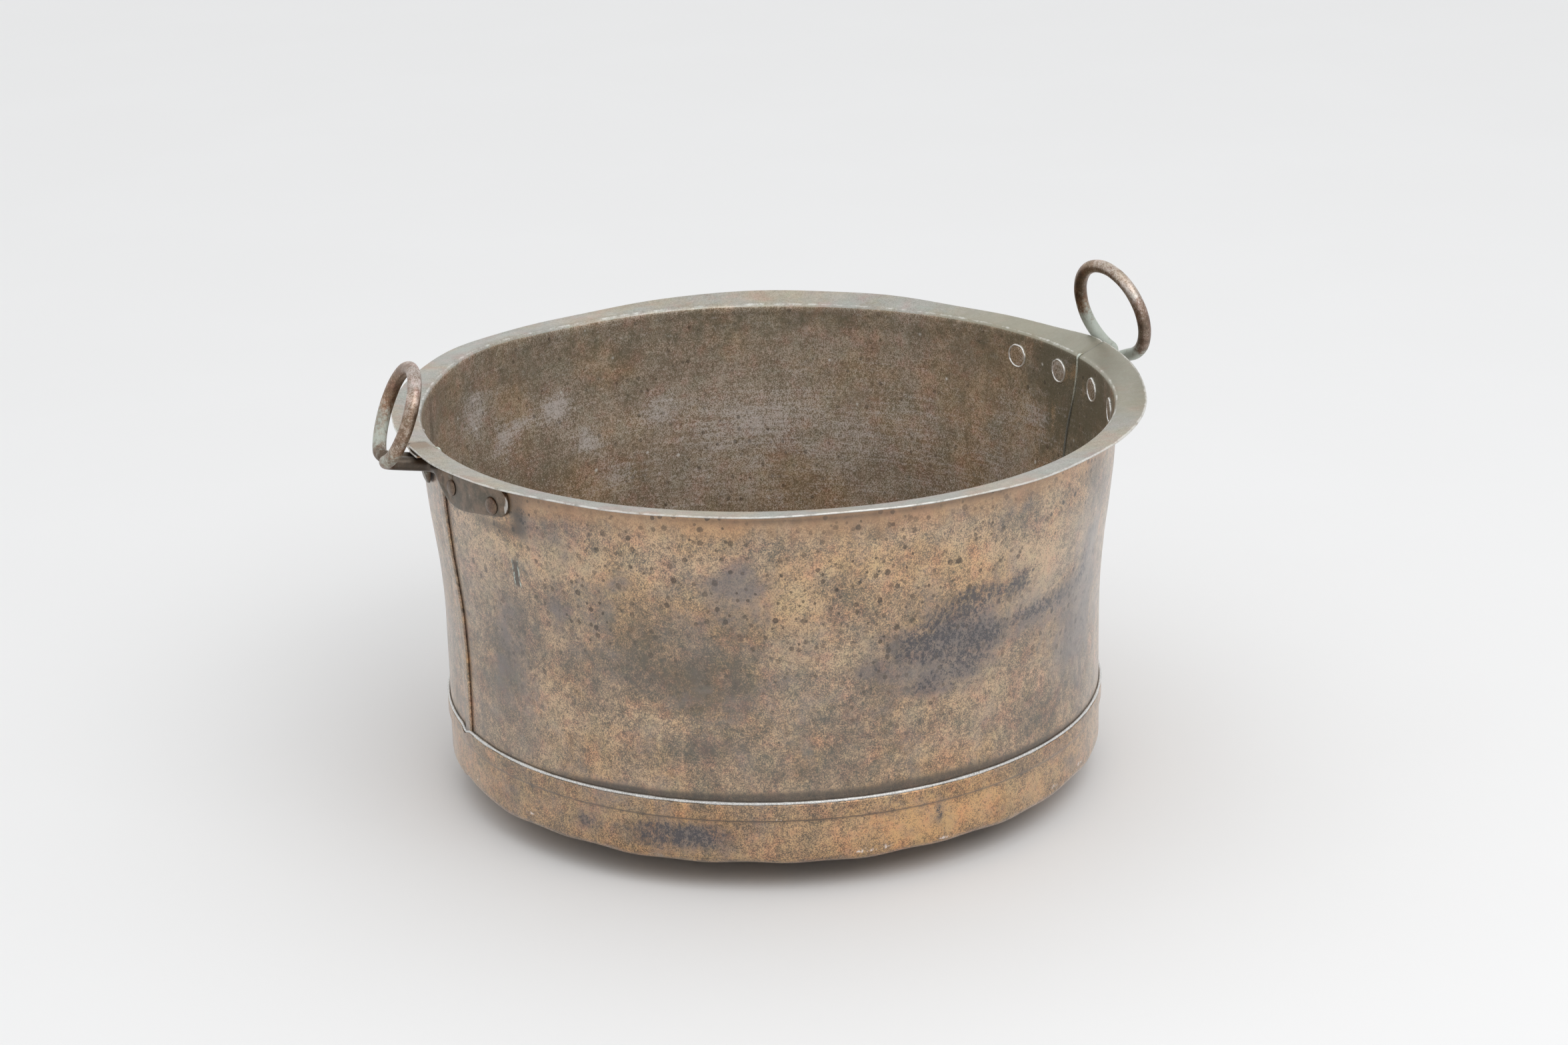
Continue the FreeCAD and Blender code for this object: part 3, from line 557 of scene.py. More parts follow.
def patina_group():
    """Cloudy aged copper from dark to light, warmer in places, with greyish tarnish."""
    inputs = {"Coordinates": "Vector", "Worn": 0.0, "Brown": 0.0, "Grain": 0.0, "Cloudiness": 1.0}
    inputs.update({label: "Color" for label in PATINA_COLOURS})
    net, start = open_group("Copper patina", "ShaderNodeTree", inputs, {"Colour": "Color", "Tone": "Float"})
    dark, middle, light, tarnish = [start[label] for label in PATINA_COLOURS]
    streaks = net.clouds(1.0, 4.0, at=net.stretch(60.0, 60.0, 6.0))
    drift = net.clouds(9.0, 4.0, 0.6, 0.5) * 0.75 + net.clouds(32.0, 7.0, 0.68, 0.4) * 1.4
    drift = drift + net.clouds(130.0, 5.0, 0.7) * 1.4 + streaks * 0.3
    tone = drift * start["Cloudiness"] + 0.5 + start["Worn"] * 0.34 - start["Brown"] * 0.4
    shaded = (tone + start["Grain"]) * 2.0
    mixed = net.mix(shaded, dark, middle).coat(shaded - 1.0, light)
    warm = net.clouds(13.0, 6.0, 0.62, 0.3).step(-0.08, 0.14)
    mixed = mixed.coat(warm, (1.07, 0.975, 0.84), "MULTIPLY")
    mixed = mixed.coat(net.clouds(17.0, 7.0, 0.68, 0.5).step(-0.02, 0.24, 0.0, 0.55), tarnish)
    rosy = net.clouds(52.0, 6.0, 0.66)
    mixed = mixed.coat(rosy.step(0.0, 0.16), (1.07, 0.95, 0.96), "MULTIPLY")
    mixed = mixed.coat(rosy.step(-0.16, 0.0, 1.0, 0.0), (0.95, 1.01, 1.0), "MULTIPLY")
    return close_group(net, {"Colour": mixed, "Tone": tone})


def plain_material(name):
    """New material and its net, which reads object coordinates."""
    material = bpy.data.materials.new(name)
    material.use_nodes = True
    net = Net(material.node_tree)
    net.where = net.add("ShaderNodeTexCoord")["Object"]
    return material, net


def metal_material(name, hammering):
    """New material, its net and the metal's grain in it."""
    material, net = plain_material(name)
    return material, net, net.place(MADE["grain"], {"Hammering": hammering})


def aged(net, shades, values):
    """Patina in a dark, a middle, a light and a tarnish colour."""
    return net.place(MADE["patina"], {**values, **dict(zip(PATINA_COLOURS, shades))})


def specks(net, scale, share, size, smallest=0.045):
    values = {"Scale": scale, "Share": share, "Size": size, "Smallest": smallest}
    return net.place(MADE["specks"], values)["Mask"]


def slit_masks(net, bearing, level, half_height):
    """Masks of a small upright repair in the sheet: its dark core and its two pale lips."""
    angle, height = net.angle_round()
    across = abs((angle - math.radians(bearing - 90.0)) * SHEET_RADIUS)
    tall = abs(height - level).step(half_height - 0.002, half_height + 0.002, 1.0, 0.0)
    core = across.step(0.0028, 0.0050, 1.0, 0.0) * tall
    lips = abs(across - 0.0031).step(0.0005, 0.0012, 1.0, 0.0) * tall
    return core, lips


def outside_material(name, colours, shades, speck_share, hammering):
    """Aged copper sheet, seen from outside, with the painted stains."""
    material, net, grain = metal_material(name, hammering)
    speckle = grain["Speckle"]
    stain = net.mark("stain")
    brown = net.mark("brown")
    grit = speckle * (stain * 0.6 + 1.5 - brown * 0.45) + 0.06 - grain["Worms"] * 0.18
    patina = aged(net, shades, {"Worn": net.mark("worn"), "Brown": brown, "Grain": grit, "Cloudiness": 0.9})

    veil = net.clouds(45.0, 7.0, 0.7, 0.4)
    hazy = veil * 2.0 + net.mark("veil") + speckle * 0.6
    surface = patina["Colour"].coat(hazy.step(0.05, 1.0, 0.0, 0.75), colours.purple)
    height = net.split(net.where)["Z"]
    glow = height.step(0.285, 0.325) - veil * 1.6 - brown * 0.6
    surface = surface.coat(glow.step(0.25, 1.1, 0.0, 0.6), colours.orange)

    small = specks(net, 98.0, 0.8, 0.14, 0.115) * 0.85
    speck = specks(net, 48.0, speck_share, 0.08, 0.06).math("MAXIMUM", small)
    patchy = net.clouds(13.0, 3.0).step(-0.18, 0.05, 0.3, 1.0) * height.step(0.10, 0.22, 0.4, 1.0)
    speck = speck * patchy * brown.step(0.1, 0.9, 1.0, 0.45)
    surface = surface.coat(speck * 0.9, colours.speck)

    flakes = net.clouds(270.0, 4.0, 0.75, 0.4, net.stretch(1.0, 1.0, 0.75))
    lacy = flakes * (stain * 5.2 + 0.3) + stain + veil * 0.7
    stained = (lacy + speckle * stain * 2.6).step(0.42, 0.98)
    surface = surface.coat(stained * 0.88, colours.stain)
    # Dirt along seams and lap, and painted shade under the flange and on its underside
    soiled_and_shaded = (speckle * 0.5 + net.mark("grime")).step(0.1, 0.95)
    surface = surface.coat(soiled_and_shaded * 0.8, colours.grime)
    # Worn bare metal, and a painted highlight by the flange's outer edge
    surface = surface.coat((veil * 1.2 + net.mark("bare")).step(0.45, 0.9), colours.edge)
    surface = surface.coat((flakes * 2.5 + net.mark("scratch")).step(0.55, 0.85), colours.scratch)
    core, lips = slit_masks(net, -65.0, 0.2525, 0.0115)
    surface = surface.coat(core * 0.85, colours.grime)
    surface = surface.coat(lips * flakes.step(-0.08, 0.1), colours.verdigris)

    gloss = patina["Tone"].step(0.1, 0.9, 0.5, 0.36)
    net.shade({
        "Base Color": surface, "Roughness": gloss + stained * 0.1 + soiled_and_shaded * 0.2,
        "Metallic": 0.95 - soiled_and_shaded * 0.5 - stained * 0.25, "Sheen Weight": 0.22, "Sheen Roughness": 0.4,
        "Coat Weight": 0.7, "Coat Roughness": 0.32}, grain["Height"] + stained * 0.05, 0.35, 0.0012)
    return material


def inside_material(name, colours):
    """Dull mottled inside: brown, olive and grey clouds, whitish scale, dark and white specks."""
    material, net, grain = metal_material(name, 0.5)
    speckle = grain["Speckle"]
    scrape = net.clouds(1.0, 3.0, at=net.stretch(20.0, 20.0, 360.0))
    shades = (colours.inner_dark, colours.inner, colours.inner_light, colours.inner_dark)
    patina = aged(net, shades, {
        "Brown": net.mark("brown"), "Grain": speckle * 2.1 + scrape * 0.5, "Cloudiness": 0.8})
    mould = net.clouds(70.0, 7.0, 0.72)
    mossy = mould * 1.8 + net.mark("olive") * 0.55 + 0.2
    surface = patina["Colour"].coat(mossy.step(0.2, 1.0, 0.0, 0.85), colours.olive)
    golden = net.mark("gold") - mould * 2.0 + speckle * 1.2
    surface = surface.coat(golden.step(0.4, 1.0, 0.0, 0.5), colours.pan_light)
    crust = net.clouds(60.0, 9.0, 0.78)
    scale = (crust * 2.0 + net.mark("bloom") + scrape * 1.3 + speckle * 1.2).step(0.18, 1.2)
    surface = surface.coat(scale * 0.8, colours.bloom)
    dots = specks(net, 95.0, 0.7, 0.16) * net.clouds(16.0, 3.0).step(-0.16, 0.06)
    surface = surface.coat(dots * 0.55, colours.speck)
    surface = surface.coat(specks(net, 34.0, 0.12, 0.02) * 0.8, colours.tin)
    # Dirt, and painted shadow just under the flange's inner bend
    surface = surface.coat(net.mark("grime").step(0.15, 0.8) * 0.5, colours.grime)
    net.shade({
        "Base Color": surface, "Roughness": scale * 0.15 + 0.5, "Metallic": 0.4 - scale * 0.3,
        "Specular IOR Level": 0.3}, crust * 0.3 + grain["Height"], 0.3, 0.0012)
    return material


def rim_material(name, colours):
    """Grey-olive flange with a bright outer edge and inner bend, partly worn and partly a painted highlight;
    darker below with dirt and painted shade.
    """
    material, net, grain = metal_material(name, 0.6)
    tongue = net.mark("tongue")
    shades = (colours.rim_dark, colours.rim, colours.rim_light, colours.rim)
    patina = aged(net, shades, {"Brown": tongue, "Grain": grain["Speckle"], "Cloudiness": 0.5})
    chips = net.clouds(90.0, 5.0, 0.7)
    # Bright outer edge and inner bend: partly worn bare metal, partly a painted highlight
    bare = (chips * 1.8 + net.mark("bare")).step(0.65, 1.1)
    olive = (chips * 1.2 + net.mark("olive")).step(0.1, 0.9, 0.0, 0.8)
    surface = patina["Colour"].coat(olive, colours.rim_olive)
    surface = surface.coat(net.clouds(26.0, 8.0, 0.72, 0.3).step(0.02, 0.24, 0.0, 0.38), colours.copper)
    surface = surface.coat((chips * 0.8 + tongue).step(0.2, 0.8, 0.0, 0.7), colours.copper)
    surface = surface.coat(bare * 0.6, colours.tin)
    # Dirt, and painted shade on the flange's underside
    surface = surface.coat((chips * 1.4 + net.mark("grime")).step(0.35, 0.8) * 0.85, colours.grime)
    gloss = patina["Tone"].step(0.1, 0.9, 0.48, 0.38) - bare * 0.05
    net.shade({"Base Color": surface, "Roughness": gloss, "Metallic": 0.8}, grain["Height"], 0.25, 0.0012)
    return material


def bar_material(name, colours):
    """Smooth brown forged bar, lighter on top from rubbing and a painted highlight, green at the legs,
    olive-grey on the feet.
    """
    material, net, grain = metal_material(name, 0.25)
    shades = (colours.handle_dark, colours.handle, colours.handle_light, colours.handle_dark)
    patina = aged(net, shades, {
        "Worn": net.mark("worn"), "Brown": net.mark("brown"), "Grain": grain["Speckle"] * 0.6,
        "Cloudiness": 0.8})
    crust = net.clouds(130.0, 8.0, 0.75)
    blotch = net.clouds(75.0, 7.0, 0.7).step(-0.08, 0.12, 0.0, 0.62)
    flat = (crust * 0.8 + net.mark("flat")).step(0.2, 0.9, 0.0, 0.85)
    surface = patina["Colour"].coat(flat, net.mix(blotch, colours.strap, colours.handle))
    green = (crust * 1.6 + net.mark("bloom") + net.clouds(160.0, 6.0, 0.7, 0.5) * 2.6).step(0.25, 1.25)
    surface = surface.coat(green * 0.85, colours.verdigris)
    # Bright foot ends: bare metal, and partly a painted highlight
    surface = surface.coat((crust * 0.6 + net.mark("bare")).step(0.4, 0.8) * 0.42, colours.tin)
    # Dirt, and painted shade on the feet's tops and round the rivet heads
    surface = surface.coat(net.mark("grime").step(0.15, 0.8) * 0.85, colours.grime)
    net.shade({
        "Base Color": surface, "Roughness": green * 0.2 + 0.42, "Metallic": 0.95 - green * 0.7,
        "Coat Weight": 0.3, "Coat Roughness": 0.35}, crust * 0.12 + grain["Height"], 0.18, 0.001)
    return material


def filler_material(name, colours, shown, dullness):
    """Soft solder, tin or braze: pale metal with dark pits."""
    material, net, grain = metal_material(name, 0.5)
    surface = net.mix(1.0, shown, grain["Speckle"] * 0.8 + 1.0, "MULTIPLY")
    dull = net.clouds(70.0, 7.0, 0.7).step(0.12 - dullness, 0.22).math("MAXIMUM", net.mark("grime"))
    surface = surface.coat(dull * 0.75, colours.grime).coat(net.mark("tongue"), colours.rim_olive)
    net.shade({"Base Color": surface, "Roughness": dull * 0.2 + 0.34, "Metallic": 0.6},
              grain["Height"], 0.4, 0.001)
    return material


def finishes():
    """All materials of the tub, made once."""
    if MADE:
        return MADE
    shown = bpy.context.scene.tub_colours
    MADE.update(grain=grain_group(), specks=speck_group(), patina=patina_group())
    wall_shades = (shown.brown, shown.copper, shown.tan, shown.lilac)
    pan_shades = (shown.pan_dark, shown.pan_copper, shown.pan_light, shown.lilac)
    MADE["outside"] = outside_material("Aged copper outside", shown, wall_shades, 0.75, 0.5)
    MADE["pan"] = outside_material("Aged copper pan", shown, pan_shades, 0.3, 0.7)
    MADE["inside"] = inside_material("Scaled copper inside", shown)
    MADE["rim"] = rim_material("Worn copper rim", shown)
    MADE["bar"] = bar_material("Forged copper bar", shown)
    MADE["solder"] = filler_material("Soft solder", shown, shown.solder, 0.02)
    MADE["tin"] = filler_material("Tin ring", shown, shown.tin, 0.0)
    MADE["braze"] = filler_material("Seam braze", shown, shown.braze, 0.06)
    return MADE


def open_shape(name, inputs):
    """New Geometry Nodes tree with a material among its inputs."""
    return open_group(name, "GeometryNodeTree", {**inputs, "Material": "Material"}, {"Geometry": "Geometry"})


def close_shape(net, start, geometry):
    """Ends a Geometry Nodes tree with plain, dressed geometry."""
    real = net.add("GeometryNodeRealizeInstances", {"Geometry": geometry})[0]
    dressed = net.add("GeometryNodeSetMaterial", {"Geometry": real, "Material": start["Material"]})[0]
    return close_group(net, {"Geometry": dressed})


def turned_sheet_tree():
    """Geometry Nodes: turns a closed section round Z and gives the sheet gentle waves."""
    net, start = open_shape("Turned sheet", {
        "Section": "Geometry", "Steps": 300, "Rows": 100, "Start": 0.0, "End": 6.2832, "Wave depth": 0.001,
        "Wave size": 9.0, "Calm below": 0.08, "Calm above": 0.27})
    grid = net.add("GeometryNodeMeshGrid", {
        "Vertices X": start["Steps"] + 1.0, "Vertices Y": start["Rows"] + 1.0})
    place = net.split(grid["UV Map"])
    row = (place["Y"] * start["Rows"]).math("ROUND").math("MODULO", start["Rows"])
    index = net.add("FunctionNodeFloatToInt", {0: row}, rounding_mode="ROUND")[0]
    position = net.add("GeometryNodeInputPosition")[0]
    picked = net.add("GeometryNodeSampleIndex", {
        "Geometry": start["Section"], "Value": position, "Index": index},
        data_type="FLOAT_VECTOR", domain="POINT")
    section = net.split(picked[0])
    height = section["Z"]
    angle = place["X"] * (start["End"] - start["Start"]) + start["Start"]
    across = angle.math("COSINE")
    along = angle.math("SINE")
    spot = net.join(across * SHEET_RADIUS, along * SHEET_RADIUS, height)
    wave = net.clouds(start["Wave size"], 2.0, 0.5, at=spot) * start["Wave depth"]
    above = height.step(start["Calm below"], start["Calm below"] + 0.04)
    below = height.step(start["Calm above"] - 0.05, start["Calm above"], 1.0, 0.0)
    radius = section["X"] + wave * above * below
    placed = net.add("GeometryNodeSetPosition", {
        "Geometry": grid["Mesh"], "Position": net.join(radius * across, radius * along, height)})
    even = net.add("GeometryNodeSetShadeSmooth", {"Geometry": placed[0]})
    return close_shape(net, start, even[0])


def rivet_row_tree():
    """Geometry Nodes: one small turned piece on each point, spun and sized a little differently."""
    net, start = open_shape("Rivet row", {
        "Points": "Geometry", "Piece": "Object", "Size spread": 0.05, "Seed": 3})
    seed = start["Seed"]
    facing = net.add("GeometryNodeInputNamedAttribute", {"Name": "facing"}, data_type="FLOAT_VECTOR")[0]
    aimed = net.add("FunctionNodeAlignRotationToVector", {"Vector": facing}, axis="Z")[0]
    spin = net.add("FunctionNodeRandomValue", {0: (0.0, 0.0, 0.0), 1: (0.0, 0.0, 6.28), "Seed": seed},
                   data_type="FLOAT_VECTOR")[0]
    spun = net.add("FunctionNodeRotateRotation", {0: aimed, 1: spin}, rotation_space="LOCAL")[0]
    size = net.add("FunctionNodeRandomValue", {2: 1.0 - start["Size spread"], 3: 1.0, "Seed": seed},
                   data_type="FLOAT")[1]
    source = net.add("GeometryNodeObjectInfo", {"Object": start["Piece"]})["Geometry"]
    copies = net.add("GeometryNodeInstanceOnPoints", {
        "Points": start["Points"], "Instance": source, "Rotation": spun, "Scale": net.join(size, size, 1.0)})
    return close_shape(net, start, copies[0])


def solder_run_tree():
    """Geometry Nodes: an uneven round bead that follows a path."""
    net, start = open_shape("Solder run", {"Path": "Geometry", "Thickness": 0.0015, "Unevenness": 0.5})
    net.where = net.add("GeometryNodeInputPosition")[0]
    path = net.add("GeometryNodeMeshToCurve", {"Mesh": start["Path"]})[0]
    swell = net.clouds(55.0, 4.0) * start["Unevenness"] * 2.0 + 1.0
    ring = net.add("GeometryNodeCurvePrimitiveCircle", {"Resolution": 10, "Radius": 1.0})[0]
    swept = net.add("GeometryNodeCurveToMesh", {
        "Curve": path, "Profile Curve": ring, "Scale": swell * start["Thickness"], "Fill Caps": True})
    even = net.add("GeometryNodeSetShadeSmooth", {"Geometry": swept[0]})
    return close_shape(net, start, even[0])


def shared_tree(name, maker):
    """A Geometry Nodes tree, built the first time it is asked for."""
    if name not in bpy.data.node_groups:
        maker()
    return bpy.data.node_groups[name]


def show(name, data):
    made = bpy.data.objects.new(name, data)
    bpy.context.scene.collection.objects.link(made)
    return made


def grow(name, source_mesh, tree, values):
    """Plain object made by running a Geometry Nodes tree on a mesh."""
    helper = show(name + "_helper", source_mesh)
    modifier = helper.modifiers.new(tree.name, "NODES")
    modifier.node_group = tree
    for item in tree.interface.items_tree:
        if item.item_type == "SOCKET" and item.in_out == "INPUT" and item.name in values:
            modifier[item.identifier] = values[item.name]
    helper.update_tag()
    bpy.context.view_layer.update()
    graph = bpy.context.evaluated_depsgraph_get()
    mesh = bpy.data.meshes.new_from_object(helper.evaluated_get(graph), depsgraph=graph)
    if len(mesh.polygons) == 0:
        raise RuntimeError(name + " came out empty")
    helper.modifiers.clear()
    bpy.data.objects.remove(helper)
    dress(mesh, [values["Material"]], lambda face: 0)
    return show(name, mesh)


def dress(mesh, materials, choose):
    """Gives a mesh its materials, and each face the number of the one that is chosen for it."""
    mesh.materials.clear()
    for material in materials:
        mesh.materials.append(material)
    numbers = np.array([choose(face) for face in mesh.polygons], dtype=np.int32)
    mesh.polygons.foreach_set("material_index", numbers)


def path_mesh(name, points, closed):
    """Edges through a row of points."""
    count = len(points)
    links = [(index, (index + 1) % count) for index in range(count if closed else count - 1)]
    mesh = bpy.data.meshes.new(name)
    mesh.from_pydata([tuple(map(float, point)) for point in points], links, [])
    return mesh


def turn_sheet(name, section, values):
    """Sheet turned from a section of radii and heights."""
    outline = [(radius, 0.0, height) for radius, height in section]
    tree = shared_tree("Turned sheet", turned_sheet_tree)
    return grow(name, path_mesh(name + "_section", outline, True), tree, {"Rows": len(section), **values})


def skin(name, loops, closed=False):
    """Smooth closed mesh over loops of points; a loop of one point ends it, closed joins last to first."""
    work = bmesh.new()
    rows = [[work.verts.new(point) for point in loop] for loop in loops]
    steps = max(len(row) for row in rows)
    for first, second in zip(rows, rows[1:] + rows[:1] if closed else rows[1:]):
        for step in range(steps):
            following = (step + 1) % steps
            corners = [first[step % len(first)], first[following % len(first)],
                       second[following % len(second)], second[step % len(second)]]
            work.faces.new(list(dict.fromkeys(corners)))
    bmesh.ops.recalc_face_normals(work, faces=work.faces)
    mesh = bpy.data.meshes.new(name)
    work.to_mesh(mesh)
    work.free()
    mesh.shade_smooth()
    return mesh


def read_points(mesh):
    flat = np.empty(len(mesh.vertices) * 3, dtype=np.float32)
    mesh.vertices.foreach_get("co", flat)
    return flat.reshape(-1, 3).astype(np.float64)


def write_points(mesh, points):
    """Moves the vertices, merges doubles, closes open ends and points the faces outwards."""
    mesh.vertices.foreach_set("co", points.astype(np.float32).ravel())
    mesh.update()
    work = bmesh.new()
    work.from_mesh(mesh)
    bmesh.ops.remove_doubles(work, verts=work.verts, dist=1e-6)
    gaps = [edge for edge in work.edges if edge.is_boundary]
    if gaps:
        caps = bmesh.ops.holes_fill(work, edges=gaps, sides=0)["faces"]
        bmesh.ops.triangulate(work, faces=caps)
    bmesh.ops.recalc_face_normals(work, faces=work.faces)
    work.to_mesh(mesh)
    work.free()
    mesh.update()
    mesh.shade_smooth()


def paint(mesh, marks):
    strongest = 1.5
    for name, values in marks.items():
        layer = mesh.attributes.new(name, "FLOAT", "POINT")
        layer.data.foreach_set("value", np.clip(values, 0.0, strongest).astype(np.float32))


def radius_of(points):
    return np.hypot(points[:, 0], points[:, 1])


def bearing_of(points):
    return np.degrees(np.arctan2(points[:, 1], points[:, 0])) + 90.0


def bearing_past(points, place):
    """Bearing of each point past a place, between -180 and 180 degrees."""
    return (bearing_of(points) - place + 180.0) % 360.0 - 180.0


def angle_past(points, seam):
    """Angle of each point past a seam, between -180 and 180 degrees, in radians."""
    angle = np.arctan2(points[:, 1], points[:, 0])
    return (angle - seam + math.pi) % FULL_TURN - math.pi


def bell(value, width):
    return np.exp(-0.5 * (value / width) ** 2)


def ridge(value, width):
    return np.exp(-(value / width) ** 2)


def marks_at(points, spots, mirrored, steepness=0.7):
    """Strength of listed marks at each point; mirrored copies fill the side that faces away."""
    height = points[:, 2] * 1000.0
    total = np.zeros(len(points))
    for place, level, half_width, half_height, strength in spots:
        copies = [(place, strength)]
        if mirrored:
            copies.append((180.0 - place, strength * 0.85))
        for centre, amount in copies:
            across = bearing_past(points, centre) * MM_PER_DEGREE / half_width
            up = (height - level) / half_height
            total += amount * np.exp(-steepness * (across ** 2 + up ** 2))
    return total


def push_out(points, distance):
    """Moves each point away from Z by its own distance."""
    points[:, :2] *= (1.0 + distance / np.maximum(radius_of(points), 0.05))[:, None]


def turn_points(points, angles):
    """Turns each point round Z by its own angle."""
    across = points[:, 0] * np.cos(angles) - points[:, 1] * np.sin(angles)
    along = points[:, 0] * np.sin(angles) + points[:, 1] * np.cos(angles)
    points[:, 0] = across
    points[:, 1] = along


def press(points):
    """Moves the sheet in and out where it is dented, but not near the pan or the flange."""
    height = points[:, 2]
    calm = smooth(height, 0.084, 0.115) * (1 - smooth(height, 0.262, 0.286))
    push_out(points, marks_at(points, SHEET_DENTS, False, 0.5) * calm / 1000.0)


def away_from_sheet(points, sizes):
    """Direction from the sheet's inside to its outside, as radial and vertical shares."""
    facts = rim_facts(sizes)
    over = points[:, 2] - facts.bend_height
    beside = radius_of(points) - facts.top_radius - sizes.flange_bend
    turn = np.where(over > 0, np.arctan2(over, beside), math.pi)
    turn = np.clip(turn, math.pi / 2 + facts.rise, math.pi)
    return -np.cos(turn), -np.sin(turn)


def slant_seam(points, sizes):
    """Lets the right seam lean towards the back in the upper wall."""
    furthest = 0.013
    past = angle_past(points, sizes.right_seam) * sizes.wall_radius
    height = points[:, 2]
    lean = furthest * (1 - smooth(height, 0.245, 0.327)) * smooth(height, 0.11, 0.19)
    near = 1 - smooth(np.abs(past), 0.012, 0.09)
    turn_points(points, lean * near / sizes.wall_radius)


def warp_rim(points, sizes):
    """The flange stands a little lower at the front and has been knocked out of true elsewhere."""
    facts = rim_facts(sizes)
    height = points[:, 2]
    angle = np.arctan2(points[:, 1], points[:, 0])
    share = smooth(radius_of(points), facts.top_radius, facts.rim_radius) * smooth(
        height, facts.bend_height - 0.002, facts.bend_height + 0.002)
    lowest = math.radians(-110.0)
    highest = math.radians(66.0)
    lift = -0.0011 * np.cos(angle - lowest) + 0.0011 * np.cos(2 * (angle - highest))
    lift += 0.0006 * np.sin(7 * angle + 0.6) + 0.0003 * np.sin(17 * angle)
    out = np.zeros(len(points))
    for place, half_width, raised, pushed in RIM_KNOCKS:
        near = bell(bearing_past(points, place), half_width) / 1000.0
        lift += raised * near
        out += pushed * near
    upper = smooth(height, 0.262, facts.bend_height) * (1 - share)
    for place, half_width, raised in FOLD_LIFTS:
        points[:, 2] += raised / 1000.0 * bell(bearing_past(points, place), half_width) * upper
    points[:, 2] += lift * share
    push_out(points, out * share)


def settle(points, sizes):
    """Gives the wall, and what sits in it, the marks of work and use."""
    slant_seam(points, sizes)
    press(points)
    warp_rim(points, sizes)


def outward_share(face):
    """How far a face looks away from Z, times its distance from Z."""
    return face.normal.x * face.center.x + face.normal.y * face.center.y


def paint_wall(mesh, sizes):
    """Marks that the wall's materials read."""
    facts = rim_facts(sizes)
    points = read_points(mesh)
    height = points[:, 2]
    radius = radius_of(points)
    on_wall = radius < facts.top_radius + 0.003
    lines = marks_at(points, SEAM_GRIME_AND_FLANGE_SHADOW, True)
    for seam in (sizes.left_seam, sizes.right_seam):
        past = angle_past(points, seam) * sizes.wall_radius
        lines += 0.45 * ridge(past + 0.004, 0.0022) * on_wall
    lines += 0.55 * (1 - smooth(height, facts.lap_top + 0.001, facts.lap_top + 0.006))
    tongue = angle_past(points, sizes.left_seam) * sizes.wall_radius
    on_flange = smooth(radius, facts.top_radius + 0.003, facts.top_radius + 0.006)
    lines += 1.1 * ridge(tongue + 0.0140, 0.003) * on_flange
    # The flange's underside near its outer edge, found by normals looking down, is darkened as dirt and
    # painted shade
    facing = np.empty(len(points) * 3, dtype=np.float32)
    mesh.vertex_normals.foreach_get("vector", facing)
    near_edge = smooth(radius, facts.rim_radius - 0.004, facts.rim_radius - 0.002)
    under = smooth(-facing[2::3], 0.2, 0.7) * near_edge
    # The inner bend's lip and the outer edge are made bright: partly worn bare metal, partly a painted
    # highlight
    lip = ridge(radius - facts.top_radius - 0.0002, 0.0016)
    lip *= smooth(height, facts.bend_height, facts.bend_height + 0.002)
    edge = smooth(radius, facts.rim_radius - 0.0022, facts.rim_radius - 0.0004)
    paint(mesh, {
        "stain": marks_at(points, DARK_STAINS, True),
        "veil": marks_at(points, PURPLE_VEILS, True),
        "brown": marks_at(points, BROWN_CLOUDS, True),
        "worn": marks_at(points, WORN_PATCHES, True),
        "bloom": marks_at(points, SCALE_BLOOM, True),
        "olive": marks_at(points, INNER_OLIVE, True),
        "gold": marks_at(points, INNER_GOLD, False),
        "tongue": 0.9 * ridge(tongue + 0.006, 0.012) * on_flange,
        "grime": lines + 0.8 * under,
        "bare": np.maximum(edge, 0.85 * lip),
    })


def finish_piece(made, node_name):
    """Ties a finished piece to the frame."""
    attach(made, BODY)
    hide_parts(node_name)


def make_wall(name, start, end, sizes, looks, laps_outside):
    """One half of the wall between two angles; its ends lap outside the other half or lie under it."""
    facts = rim_facts(sizes)
    made = turn_sheet(name, wall_section(sizes), {
        "Steps": sizes.steps_round, "Start": start, "End": end, "Wave depth": 0.0022, "Wave size": 11.0,
        "Calm below": 0.084, "Calm above": 0.286, "Material": looks["outside"]})
    points = read_points(made.data)
    if laps_outside:
        outward, upward = away_from_sheet(points, sizes)
        step = np.zeros(len(points))
        for seam, way in ((sizes.left_seam, 1.0), (sizes.right_seam, -1.0)):
            past = angle_past(points, seam) * way * sizes.wall_radius
            step += smooth(past, -0.006, -0.0005) * (np.abs(past) < 0.3)
        step *= (sizes.wall_sheet + sizes.seat_gap) * 1.05
        push_out(points, step * outward)
        points[:, 2] += step * upward
    else:
        # The flange of this half ends in a tongue with a rounded corner, over the other half at the left
        radius = radius_of(points)
        past = -angle_past(points, sizes.left_seam) * sizes.wall_radius
        on_flange = smooth(radius, facts.top_radius + 0.002, facts.top_radius + 0.007)
        corner_size = 0.012
        corner = np.clip((radius - facts.rim_radius + corner_size) / corner_size, 0.0, 1.0)
        reach = sizes.seam_lap / sizes.wall_radius * 1.1 * (1 - 0.55 * corner ** 3)
        near = smooth(past, -0.05, 0.0) * on_flange
        points[:, 2] += near * sizes.wall_sheet * 1.25
        turn_points(points, -near * reach)
    settle(points, sizes)
    write_points(made.data, points)

    def choose(face):
        radius = math.hypot(face.center.x, face.center.y)
        at_edge = radius > facts.rim_radius - 0.0012
        if face.center.z > facts.bend_height and (face.normal.z > 0.4 or at_edge):
            return 1
        return 2 if outward_share(face) / radius < -0.3 else 0

    dress(made.data, [looks["outside"], looks["rim"], looks["inside"]], choose)
    paint_wall(made.data, sizes)
    return made


